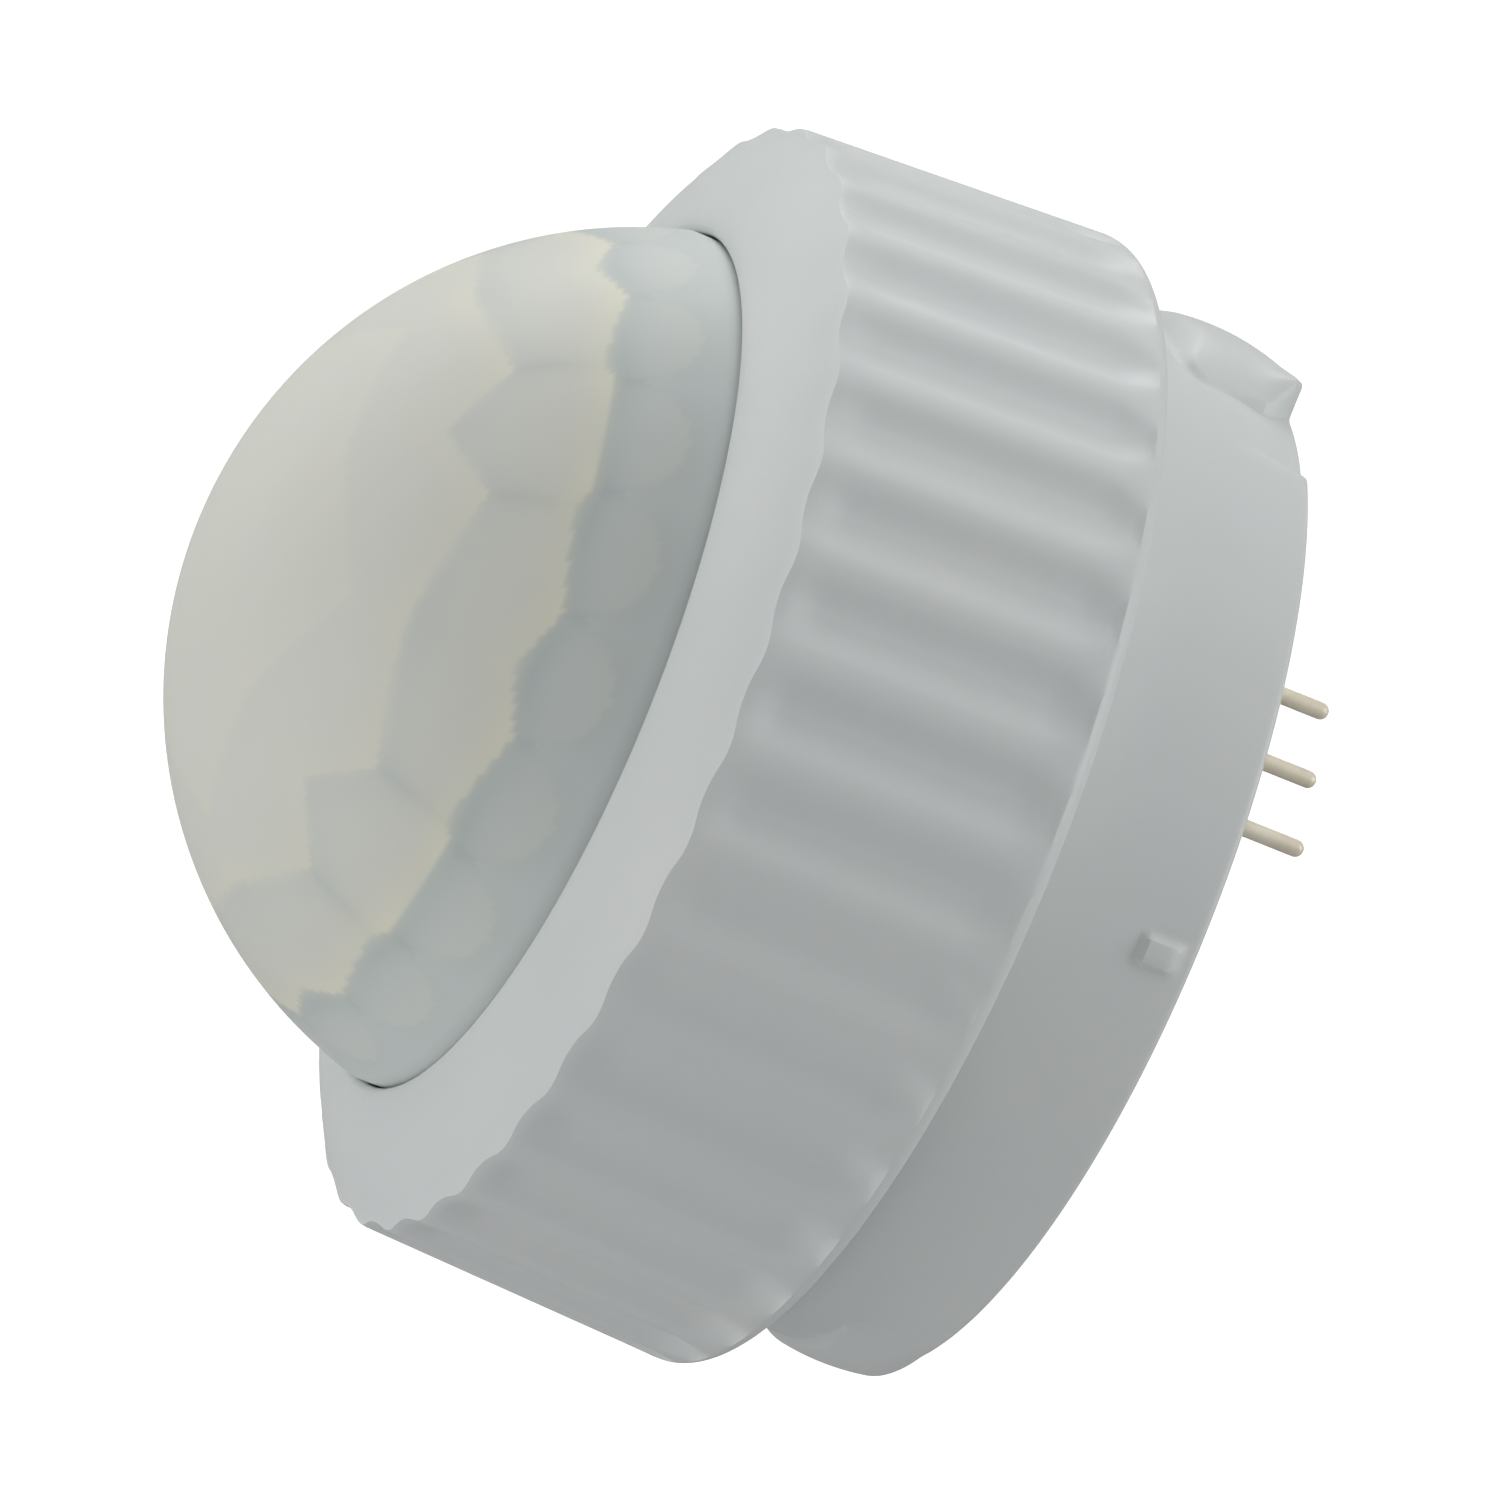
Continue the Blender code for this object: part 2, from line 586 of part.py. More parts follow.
def make_lens():
    outer = cap(DOME_R, DOME_H, DOME_Z, 9)
    inner = cap(DOME_R - LENS_WALL, DOME_H - LENS_WALL, DOME_Z, 7)
    inner[0] = (0.0, inner[0][1])
    outer[0] = (0.0, outer[0][1])
    profile = [
        *outer, (DOME_R, FLANGE_TOP), (FLANGE_R, FLANGE_TOP), (FLANGE_R, FLANGE_BOTTOM),
        (DOME_R - LENS_WALL, FLANGE_BOTTOM), *reversed(inner),
    ]
    return add_object("lens_dome", turned_solid(profile, LENS_STEPS), PARTS, "milky_lens")


def make_gasket():
    top = GASKET_TOP
    outer = NECK_R - PIN_GAP
    profile = [(outer, top), (outer, top - GASKET_H), (outer - GASKET_W, top - GASKET_H),
               (outer - GASKET_W, top)]
    return add_object("lens_gasket", turned(profile, TURN_STEPS), PARTS, "grey_rubber")


# ---------------------------------------------------------------- boards
def make_board(name, low, pin_holes=False):
    board = add_object(name, cylinder(BOARD_R, low, low + BOARD_H, LENS_STEPS), PARTS, "board_green")
    for i, angle in enumerate(POST_ANGLES):
        hole = cylinder(BOARD_SCREW_R + GAP, low - CUT_OVER, low + BOARD_H + CUT_OVER, 12)
        boolean(board, as_cutter(f"{name}_hole_{i + 1}", hole, at=polar(POST_CIRCLE, angle)))
    for i in range(LINK_PINS):
        hole = cylinder(LINK_PIN_R + PIN_GAP, low - CUT_OVER, low + BOARD_H + CUT_OVER, 8)
        boolean(board, as_cutter(f"{name}_link_hole_{i + 1}", hole, at=link_place(i)))
    for i in range(PINS if pin_holes else 0):
        hole = cylinder(PIN_R + PIN_GAP, low - CUT_OVER, low + BOARD_H + CUT_OVER, 12)
        boolean(board, as_cutter(f"{name}_pin_hole_{i + 1}", hole, at=pin_place(i)))
    return board


def link_place(i):
    return Vector((LINK_AT[0], LINK_AT[1] + (i - (LINK_PINS - 1) / 2) * LINK_PITCH, 0))


def make_board_link():
    """Header that joins the two boards: a moulded block with its pins through both."""
    low = POWER_TOP + GAP
    high = SENSOR_Z - GAP
    body = block((LINK_SIZE[1], LINK_SIZE[0], 1.0), low, high)
    made = add_object("board_link", body, PARTS, "black_plastic", at=(*LINK_AT, 0.0))
    for i in range(LINK_PINS):
        pin = cylinder(LINK_PIN_R, POWER_Z - EMBED, SENSOR_TOP + EMBED, 8)
        boolean(made, as_cutter(f"link_pin_{i + 1}", pin, at=link_place(i)), "UNION")
    return made


def make_spacers():
    """Tubes between the boards, round the long screws."""
    low = POWER_TOP + GAP
    high = SENSOR_Z - GAP
    inner = BOARD_SCREW_R + POST_BORE_GAP
    for i, angle in enumerate(POST_ANGLES):
        profile = [(POST_R, high), (POST_R, low), (inner, low), (inner, high)]
        tube = turned(profile, 16)
        add_object(f"board_spacer_{i + 1}", tube, PARTS, "dial_white", at=polar(POST_CIRCLE, angle))


def make_board_screws():
    top = SENSOR_TOP + PIN_GAP + BOARD_SCREW_HEAD_H
    length = SENSOR_TOP + PIN_GAP - (POWER_Z - GAP) + BOARD_SCREW_BITE - GAP
    for i, angle in enumerate(POST_ANGLES):
        screw(f"board_screw_{i + 1}", BOARD_SCREW_R, BOARD_SCREW_HEAD_R, BOARD_SCREW_HEAD_H, length,
              polar(POST_CIRCLE, angle, top), False)


def make_power_parts():
    low = POWER_TOP + GAP
    cap_profile = [(0.0, low + CAP_H), (CAP_R - 0.4, low + CAP_H), (CAP_R, low + CAP_H - 0.4),
                   (CAP_R, low + 1.4), (CAP_R - 0.3, low + 1.1), (CAP_R, low + 0.8), (CAP_R, low), (0.0, low)]
    add_object("filter_capacitor", turned_solid(cap_profile, SMALL_STEPS), PARTS, "blue_sleeve",
               at=(*CAP_AT, 0.0))
    flange = 0.7
    choke_profile = [(0.0, low + CHOKE_H), (CHOKE_R, low + CHOKE_H), (CHOKE_R, low + CHOKE_H - flange),
                     (CHOKE_R - 0.8, low + CHOKE_H - flange), (CHOKE_R - 0.8, low + flange),
                     (CHOKE_R, low + flange), (CHOKE_R, low), (0.0, low)]
    add_object("choke", turned_solid(choke_profile, SMALL_STEPS), PARTS, "copper_coil", at=(*CHOKE_AT, 0.0))
    body = bevelled(block(REGULATOR_SIZE, low, low + REGULATOR_SIZE[2]), 0.2)
    add_object("voltage_regulator", body, PARTS, "black_plastic", at=(*REGULATOR_AT, 0.0))


def make_sensor_parts():
    top = SENSOR_TOP + GAP
    under = SENSOR_Z - GAP
    chip = bevelled(block(CHIP_SIZE, under - CHIP_SIZE[2], under), 0.15)
    add_object("control_chip", chip, PARTS, "black_plastic", at=(*CHIP_AT, 0.0))
    holder_profile = [(PIR_HOLDER_R, top + PIR_HOLDER_H), (PIR_HOLDER_R, top), (PIR_R - 1.2, top),
                      (PIR_R - 1.2, top + PIR_HOLDER_H)]
    add_object("sensor_holder", turned(holder_profile, SMALL_STEPS), PARTS, "black_plastic")
    make_pir(top + PIR_HOLDER_H + GAP)
    cell_top = top + PHOTO_H
    cell_profile = [(0.0, cell_top), (PHOTO_R - 0.3, cell_top), (PHOTO_R, cell_top - 0.3),
                    (PHOTO_R, top), (0.0, top)]
    add_object("light_cell", turned_solid(cell_profile, 16), PARTS, "sensor_glass", at=(*PHOTO_AT, 0.0))
    led = turned_solid([*arc((0.0, top + LED_H - LED_R), LED_R, 90, 0, 4), (LED_R, top + 0.8),
                        (LED_R + 0.3, top + 0.8), (LED_R + 0.3, top), (0.0, top)], 16)
    add_object("status_led", led, PARTS, "clear_resin", at=(*LED_AT, 0.0))
    remote = bevelled(block(REMOTE_SIZE, top, top + REMOTE_SIZE[2]), 0.3)
    add_object("remote_receiver", remote, PARTS, "black_plastic", at=(*REMOTE_AT, 0.0))


def make_pir(low):
    """The metal can with its flange, and the filter window set in its top."""
    high = low + PIR_H
    profile = [(0.0, high), (PIR_R - 0.3, high), (PIR_R, high - 0.3), (PIR_R, low + PIR_FLANGE_H),
               (PIR_FLANGE_R, low + PIR_FLANGE_H), (PIR_FLANGE_R, low), (0.0, low)]
    can = add_object("heat_sensor_can", turned_solid(profile, SMALL_STEPS), PARTS, "steel")
    width, depth, thick = PIR_WINDOW
    seat = block((width + 2 * GAP, depth + 2 * GAP, 1.0), high - thick - GAP, high + CUT_OVER)
    boolean(can, as_cutter("window_seat", seat))
    add_object("heat_sensor_window", block((width, depth), high - thick, high), PARTS, "sensor_glass")


def make_dials():
    """Three small setting dials, each a body with a well and a slotted rotor that turns in it."""
    top = SENSOR_TOP + GAP
    for name, place in zip(DIAL_NAMES, DIAL_AT):
        at = (*place, 0.0)
        body = bevelled(block(POT_SIZE, top, top + POT_SIZE[2]), 0.2)
        made = add_object(f"{name}_dial_body", body, PARTS, "black_plastic", at=at)
        well = cylinder(POT_WELL_R, top + POT_SIZE[2] - POT_WELL_H, top + POT_SIZE[2] + CUT_OVER)
        boolean(made, as_cutter(f"{name}_well", well, at=at))
        foot = top + POT_SIZE[2] - POT_WELL_H + GAP
        crown = SENSOR_TOP + DIAL_TOP
        profile = [(0.0, crown), (DIAL_R - 0.2, crown), (DIAL_R, crown - 0.2), (DIAL_R, foot), (0.0, foot)]
        rotor = add_object(f"{name}_dial", turned_solid(profile, 20), PARTS, "dial_white", at=at)
        slot = block((SLOT[0], SLOT[1], 1.0), crown - SLOT[2], crown + CUT_OVER)
        boolean(rotor, as_cutter(f"{name}_slot", slot, at=at))


# ---------------------------------------------------------------- shroud
def make_shroud():
    """Inner cover on the shell's ledge, open for the sensor, the light cell, the lamp and the dials."""
    low = LEDGE_TOP + GAP
    outer = NECK_BORE - GAP
    disc = cylinder(outer, low, low + SHROUD_H, TURN_STEPS)
    shroud = add_object("inner_shroud", disc, PARTS, "shroud_grey")
    chimney_r = PIR_HOLDER_R + OPENING_GAP + SHROUD_COLLAR_WALL
    chimney = cylinder(chimney_r, low + SHROUD_H - EMBED, low + SHROUD_H + SHROUD_COLLAR_H)
    boolean(shroud, as_cutter("shroud_chimney", chimney), "UNION")
    remote_r = math.hypot(*REMOTE_SIZE[:2]) / 2
    openings = [("sensor", (0.0, 0.0), PIR_HOLDER_R), ("light", PHOTO_AT, PHOTO_R),
                ("lamp", LED_AT, LED_R), ("remote", REMOTE_AT, remote_r)]
    openings += [(name, place, DIAL_R) for name, place in zip(DIAL_NAMES, DIAL_AT)]
    for name, place, radius in openings:
        hole = cylinder(radius + OPENING_GAP, low - CUT_OVER, low + SHROUD_H + SHROUD_COLLAR_H + CUT_OVER)
        boolean(shroud, as_cutter(f"shroud_hole_{name}", hole, at=(*place, 0.0)))
    return shroud


def main():
    make_base_shell()
    make_back_plate()
    make_back_screws()
    make_pin_block()
    make_pins()
    make_board("power_board", POWER_Z, pin_holes=True)
    make_power_parts()
    make_board_link()
    make_spacers()
    make_board("sensor_board", SENSOR_Z)
    make_board_screws()
    make_sensor_parts()
    make_dials()
    make_shroud()
    make_gasket()
    make_lens()
    make_ring()


clear_scene()
PARTS = new_collection("motion_sensor")
CUTTERS = new_collection("cutters")
main()
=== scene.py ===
"""Studio scene of a plug-in ceiling motion sensor: a faceted lens dome held by a fluted screw ring
on a round base with bayonet lugs and three contact pins.

Frame: metres, +Z points out of the lens, the origin is the centre of the base's back face. Angles
round the object are counted from +X, clockwise seen from the lens, so that 90 degrees is the side
towards the camera.
"""

import json
import logging
import math
from dataclasses import dataclass, field
from enum import Enum

import bpy
import numpy as np
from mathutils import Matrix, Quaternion, Vector

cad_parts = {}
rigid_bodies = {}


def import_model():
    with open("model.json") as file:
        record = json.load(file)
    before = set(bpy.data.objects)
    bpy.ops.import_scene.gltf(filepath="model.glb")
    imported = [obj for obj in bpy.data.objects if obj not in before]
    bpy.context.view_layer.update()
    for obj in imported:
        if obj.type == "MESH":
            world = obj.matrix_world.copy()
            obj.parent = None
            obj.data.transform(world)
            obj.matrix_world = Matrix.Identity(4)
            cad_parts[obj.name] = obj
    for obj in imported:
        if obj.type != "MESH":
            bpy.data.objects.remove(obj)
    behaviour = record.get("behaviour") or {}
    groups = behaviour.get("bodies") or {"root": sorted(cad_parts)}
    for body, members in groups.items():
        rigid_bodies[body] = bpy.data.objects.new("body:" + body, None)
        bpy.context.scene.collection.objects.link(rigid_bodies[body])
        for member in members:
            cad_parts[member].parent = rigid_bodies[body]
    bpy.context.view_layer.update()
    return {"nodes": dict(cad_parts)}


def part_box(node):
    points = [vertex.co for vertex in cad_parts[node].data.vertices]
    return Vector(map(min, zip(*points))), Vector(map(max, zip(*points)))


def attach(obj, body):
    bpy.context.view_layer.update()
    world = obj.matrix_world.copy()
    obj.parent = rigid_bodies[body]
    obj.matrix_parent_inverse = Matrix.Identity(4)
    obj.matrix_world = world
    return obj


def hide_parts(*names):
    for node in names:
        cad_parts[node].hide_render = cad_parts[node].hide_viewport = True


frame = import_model()

log = logging.getLogger("motion_sensor")

Colour = tuple[float, float, float]

MM = 0.001
TOUCH = 2e-6            # two heights or radii closer than this are the same
MERGE = 1e-7            # weld distance for turned shapes
CREASE = math.radians(32)
MOST_CUTS = 60          # cuts of an edge in one go
MOST_POWER = 60.0       # largest power that the exponential is given
FAR = 1.0               # a distance beyond every edge of the object
SHORTEST = 1e-9         # a distance that can be divided by
NOISE_LOW, NOISE_HIGH = 0.3, 0.7            # where nearly all of a noise pattern's values lie
MIX_FIRST, MIX_SECOND, MIX_COLOUR = 6, 7, 2     # colour sockets of a Mix node


# ------------------------------------------------------------------ mesh helpers
def deselect_all() -> None:
    """Clears the selection, so that an operator acts only on what is made next."""
    for obj in bpy.context.view_layer.objects:
        obj.select_set(False)


def make_active(obj: bpy.types.Object) -> None:
    """Selects one object alone and makes it the active one.

    Args:
        obj: the object.
    """
    deselect_all()
    obj.select_set(True)
    bpy.context.view_layer.objects.active = obj


def apply_modifier(obj: bpy.types.Object, modifier: bpy.types.Modifier) -> None:
    """Applies a modifier to its object's mesh."""
    make_active(obj)
    bpy.ops.object.modifier_apply(modifier=modifier.name)


def smooth(obj: bpy.types.Object) -> None:
    """Shades an object smooth with its creases kept crisp."""
    make_active(obj)
    bpy.ops.object.shade_smooth_by_angle(angle=CREASE)


def link(obj: bpy.types.Object) -> None:
    """Puts a new object in the scene."""
    bpy.context.scene.collection.objects.link(obj)


def read_points(obj: bpy.types.Object) -> np.ndarray:
    """The object's corners, one to a row.

    Args:
        obj: the object.

    Returns:
        Its corners in metres.
    """
    flat = np.empty(len(obj.data.vertices) * 3)
    obj.data.vertices.foreach_get("co", flat)
    return flat.reshape(-1, 3)


def write_points(obj: bpy.types.Object, points: np.ndarray) -> None:
    """Moves the object's corners to new places, one to a row."""
    obj.data.vertices.foreach_set("co", points.astype(np.float32).ravel())
    obj.data.update()


@dataclass
class Outline:
    """A turned section in the (radius, height) plane, drawn point by point.

    Attributes:
        points: the corners so far, in metres.
    """

    points: list[tuple[float, float]] = field(default_factory=list)

    def at(self, radius: float, height: float) -> "Outline":
        """Adds one point."""
        self.points.append((radius, height))
        return self

    def line(self, radius: float, height: float, step: float) -> "Outline":
        """Adds a straight run of evenly spaced points.

        Args:
            radius: end radius.
            height: end height.
            step: largest distance between two points.

        Returns:
            The outline itself.
        """
        r0, z0 = self.points[-1]
        count = max(1, math.ceil(math.hypot(radius - r0, height - z0) / step))
        for i in range(1, count + 1):
            t = i / count
            self.at(r0 + (radius - r0) * t, z0 + (height - z0) * t)
        return self

    def arc(self, centre: tuple[float, float], radius: float, start: float, end: float,
            steps: int) -> "Outline":
        """Adds points on an arc, the first one included.

        Args:
            centre: centre in the section plane.
            radius: radius of the arc.
            start: first angle in degrees, from the outward direction towards up.
            end: last angle in degrees.
            steps: number of steps.

        Returns:
            The outline itself.
        """
        for i in range(steps + 1):
            angle = math.radians(start + (end - start) * i / steps)
            self.at(centre[0] + radius * math.cos(angle), centre[1] + radius * math.sin(angle))
        return self


def turned(name: str, outline: Outline, segments: int, closed: bool) -> bpy.types.Object:
    """Turns a section about Z into one closed body.

    Args:
        name: name of the new piece.
        outline: the section; an open one starts and ends on the axis.
        segments: steps of the full turn.
        closed: True for a ring-shaped section that joins its own start.

    Returns:
        The piece, at the origin, with its normals pointing out.
    """
    deselect_all()
    bpy.ops.mesh.primitive_plane_add(size=MM, location=(0.0, 0.0, 0.0))
    obj = bpy.context.object
    obj.name = obj.data.name = name
    bpy.ops.object.mode_set(mode="EDIT")
    bpy.ops.mesh.select_mode(type="VERT")
    bpy.ops.mesh.select_all(action="SELECT")
    bpy.ops.mesh.merge(type="CENTER")
    bpy.ops.mesh.extrude_region_move(TRANSFORM_OT_translate={"value": (1.0, 0.0, 0.0)})
    cut_chain(obj, len(outline.points))
    bpy.ops.object.mode_set(mode="OBJECT")
    lay_on_outline(obj, outline)
    bpy.ops.object.mode_set(mode="EDIT")
    if closed:
        select_ends(obj)
        bpy.ops.mesh.edge_face_add()
    bpy.ops.object.mode_set(mode="OBJECT")
    screw = obj.modifiers.new("full_turn", "SCREW")
    screw.axis, screw.angle, screw.screw_offset = "Z", 2 * math.pi, 0.0
    screw.steps = screw.render_steps = segments
    screw.use_merge_vertices, screw.merge_threshold = True, MERGE
    apply_modifier(obj, screw)
    bpy.ops.object.mode_set(mode="EDIT")
    bpy.ops.mesh.select_all(action="SELECT")
    bpy.ops.mesh.remove_doubles(threshold=MERGE)
    bpy.ops.mesh.normals_make_consistent(inside=False)
    bpy.ops.object.mode_set(mode="OBJECT")
    return obj


def cut_chain(obj: bpy.types.Object, count: int) -> None:
    """Cuts a single edge along X into a chain of so many corners, in edit mode.

    Args:
        obj: the object that holds the edge.
        count: corners wanted in the chain.
    """
    obj.update_from_editmode()
    while len(obj.data.vertices) < count:
        bpy.ops.mesh.select_all(action="DESELECT")
        bpy.ops.object.mode_set(mode="OBJECT")
        ends = sorted(obj.data.vertices, key=lambda vertex: vertex.co.x)[-2:]
        for vertex in obj.data.vertices:
            vertex.select = vertex in ends
        bpy.ops.object.mode_set(mode="EDIT")
        bpy.ops.mesh.subdivide(number_cuts=min(count - len(obj.data.vertices), MOST_CUTS))
        obj.update_from_editmode()


def lay_on_outline(obj: bpy.types.Object, outline: Outline) -> None:
    """Lays a straight chain of corners along the outline, one corner to each point.

    Args:
        obj: the object that holds the chain.
        outline: the section to lay it on.
    """
    chain = sorted(obj.data.vertices, key=lambda vertex: vertex.co.x)
    for vertex, (radius, height) in zip(chain, outline.points, strict=True):
        vertex.co = (radius, 0.0, height)


def select_ends(obj: bpy.types.Object) -> None:
    """Selects the two loose ends of a chain, in edit mode.

    Args:
        obj: the object that holds the chain.
    """
    bpy.ops.mesh.select_all(action="DESELECT")
    bpy.ops.object.mode_set(mode="OBJECT")
    uses = np.zeros(len(obj.data.vertices), int)
    for edge in obj.data.edges:
        uses[list(edge.vertices)] += 1
    for vertex in obj.data.vertices:
        vertex.select = bool(uses[vertex.index] == 1)
    bpy.ops.object.mode_set(mode="EDIT")


@dataclass
class Cage:
    """A piece's corners in turned coordinates, read once and written back once.

    Attributes:
        obj: the piece.
    """

    obj: bpy.types.Object

    def __post_init__(self) -> None:
        """Reads the corners."""
        points = read_points(self.obj)
        self.radius = np.hypot(points[:, 0], points[:, 1])
        self.angle = np.degrees(np.arctan2(-points[:, 1], points[:, 0]))
        self.height = points[:, 2].copy()

    def write(self) -> None:
        """Writes the corners back."""
        turn = np.radians(self.angle)
        across, towards = self.radius * np.cos(turn), -self.radius * np.sin(turn)
        write_points(self.obj, np.stack([across, towards, self.height], 1))


def ramp(value: np.ndarray) -> np.ndarray:
    """Smooth step from 0 to 1 as the value goes from 0 to 1."""
    t = np.clip(value, 0.0, 1.0)
    return t * t * (3.0 - 2.0 * t)


def turn_between(angle: np.ndarray, centre: float) -> np.ndarray:
    """Signed angle from a centre line, in degrees from -180 to 180."""
    return (angle - centre + 180.0) % 360.0 - 180.0


# ------------------------------------------------------------------ finishes
class Slot(Enum):
    """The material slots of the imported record."""

    SHELL = "white_shell"
    LENS = "milky_lens"
    RUBBER = "grey_rubber"
    PINS = "pin_metal"
    BLACK = "black_plastic"
    BOARD = "board_green"
    STEEL = "steel"
    GLASS = "sensor_glass"
    COPPER = "copper_coil"
    SHROUD = "shroud_grey"
    RESIN = "clear_resin"
    DIAL = "dial_white"
    SLEEVE = "blue_sleeve"


@dataclass
class Recipe:
    """A material's node tree while it is being put together.

    Attributes:
        name: name of the material.
    """

    name: str

    def __post_init__(self) -> None:
        """Makes the empty material."""
        self.material = bpy.data.materials.new(self.name)
        self.material.use_nodes = True
        tree = self.material.node_tree
        self.nodes, self.links = tree.nodes, tree.links
        self.shader = self.nodes["Principled BSDF"]

    def add(self, kind: str, sockets: dict | None = None, **settings: object) -> bpy.types.Node:
        """Adds a node.

        Args:
            kind: identifier of the node type.
            sockets: values or source sockets for its inputs, by name or number.
            **settings: properties of the node.

        Returns:
            The node.
        """
        node = self.nodes.new(kind)
        for key, value in settings.items():
            setattr(node, key, value)
        for key, value in (sockets or {}).items():
            self.feed(node.inputs[key], value)
        return node

    def feed(self, socket: bpy.types.NodeSocket, value: object) -> None:
        """Sets an input, or links it when the value is an output socket.

        Args:
            socket: the input.
            value: a number, a colour, a vector or an output socket.
        """
        if isinstance(value, bpy.types.NodeSocket):
            self.links.new(value, socket)
        else:
            socket.default_value = value

    def set(self, **sockets: object) -> None:
        """Sets or links the shader's inputs; underscores stand for spaces."""
        for key, value in sockets.items():
            self.feed(self.shader.inputs[key.replace("_", " ")], value)

    def place(self) -> bpy.types.NodeSocket:
        """The piece's own coordinates."""
        return self.add("ShaderNodeTexCoord").outputs["Object"]

    def noise(self, scale: float, detail: float = 2.0, rough: float = 0.5,
              place: bpy.types.NodeSocket | None = None) -> bpy.types.NodeSocket:
        """A noise pattern of so many cells to the metre.

        Args:
            scale: cells to the metre.
            detail: finer layers.
            rough: strength of the finer layers.
            place: coordinates, the piece's own if none are given.

        Returns:
            The pattern's value.
        """
        sockets = {"Vector": place or self.place(), "Scale": scale, "Detail": detail,
                   "Roughness": rough}
        return self.add("ShaderNodeTexNoise", sockets).outputs["Fac"]

    def attribute(self, name: str) -> bpy.types.NodeSocket:
        """A value that the mesh carries at its corners."""
        return self.add("ShaderNodeAttribute", attribute_name=name).outputs["Fac"]

    def between(self, value: bpy.types.NodeSocket, low: float, high: float, to_low: float = 0.0,
                to_high: float = 1.0) -> bpy.types.NodeSocket:
        """Maps a range of values onto another, clamped.

        Args:
            value: the value to map.
            low: value that becomes to_low.
            high: value that becomes to_high.
            to_low: first bound of the result.
            to_high: second bound of the result.

        Returns:
            The mapped value.
        """
        sockets = {"Value": value, "From Min": low, "From Max": high, "To Min": to_low,
                   "To Max": to_high}
        return self.add("ShaderNodeMapRange", sockets).outputs["Result"]

    def wander(self, scale: float, low: float, high: float,
               detail: float = 2.0) -> bpy.types.NodeSocket:
        """A value that wanders between two bounds over so many cells to the metre."""
        return self.between(self.noise(scale, detail), NOISE_LOW, NOISE_HIGH, low, high)

    def blend(self, factor: bpy.types.NodeSocket, first: Colour | bpy.types.NodeSocket,
              second: Colour) -> bpy.types.NodeSocket:
        """Mixes two colours by a factor.

        Args:
            factor: share of the second colour.
            first: first colour, fixed or from a socket.
            second: second colour.

        Returns:
            The mixed colour.
        """
        node = self.add("ShaderNodeMix", data_type="RGBA")
        self.feed(node.inputs["Factor"], factor)
        for number, colour in ((MIX_FIRST, first), (MIX_SECOND, second)):
            self.feed(node.inputs[number], (*colour, 1.0) if isinstance(colour, tuple) else colour)
        return node.outputs[MIX_COLOUR]

    def bump(self, height: bpy.types.NodeSocket, strength: float, depth: float,
             under: bpy.types.NodeSocket | None = None) -> bpy.types.NodeSocket:
        """A bump of a given depth in metres, laid over another when one is given.

        Args:
            height: relief from 0 to 1.
            strength: strength of the bump.
            depth: depth at full relief.
            under: normal of the bump below.

        Returns:
            The bumped normal.
        """
        sockets = {"Height": height, "Strength": strength, "Distance": depth}
        if under is not None:
            sockets["Normal"] = under
        return self.add("ShaderNodeBump", sockets).outputs["Normal"]


@dataclass(frozen=True)
class MouldedPlastic:
    """Injection-moulded plastic with a satin spark-eroded grain and faint flow clouding.

    Attributes:
        colour: main colour.
        cloud: colour of the flow clouding.
        roughness: mean roughness.
        grain: grain cells to the metre.
        grain_depth: depth of the grain in metres.
        softness: share of light that scatters under the surface.
        cloud_cells: clouds to the metre.
        wear_cells: patches of duller and brighter skin to the metre.
    """

    colour: Colour
    cloud: Colour
    roughness: float = 0.42
    grain: float = 5200.0
    grain_depth: float = 0.012 * MM
    softness: float = 0.0
    cloud_cells: float = 60.0
    wear_cells: float = 900.0

    def material(self, name: str) -> bpy.types.Material:
        """Builds the material.

        Args:
            name: name of the material.

        Returns:
            The material.
        """
        recipe = Recipe(name)
        cloud = recipe.between(recipe.noise(self.cloud_cells, 3.0), 0.35, 0.75)
        wear = recipe.wander(self.wear_cells, self.roughness - 0.05, self.roughness + 0.06, 3.0)
        normal = recipe.bump(recipe.noise(self.grain), 0.5, self.grain_depth)
        recipe.set(Base_Color=recipe.blend(cloud, self.colour, self.cloud), Roughness=wear,
                   Normal=normal)
        if self.softness:
            recipe.set(Subsurface_Weight=self.softness, Subsurface_Radius=(1.0, 0.95, 0.9),
                       Subsurface_Scale=0.8 * MM)
        return recipe.material


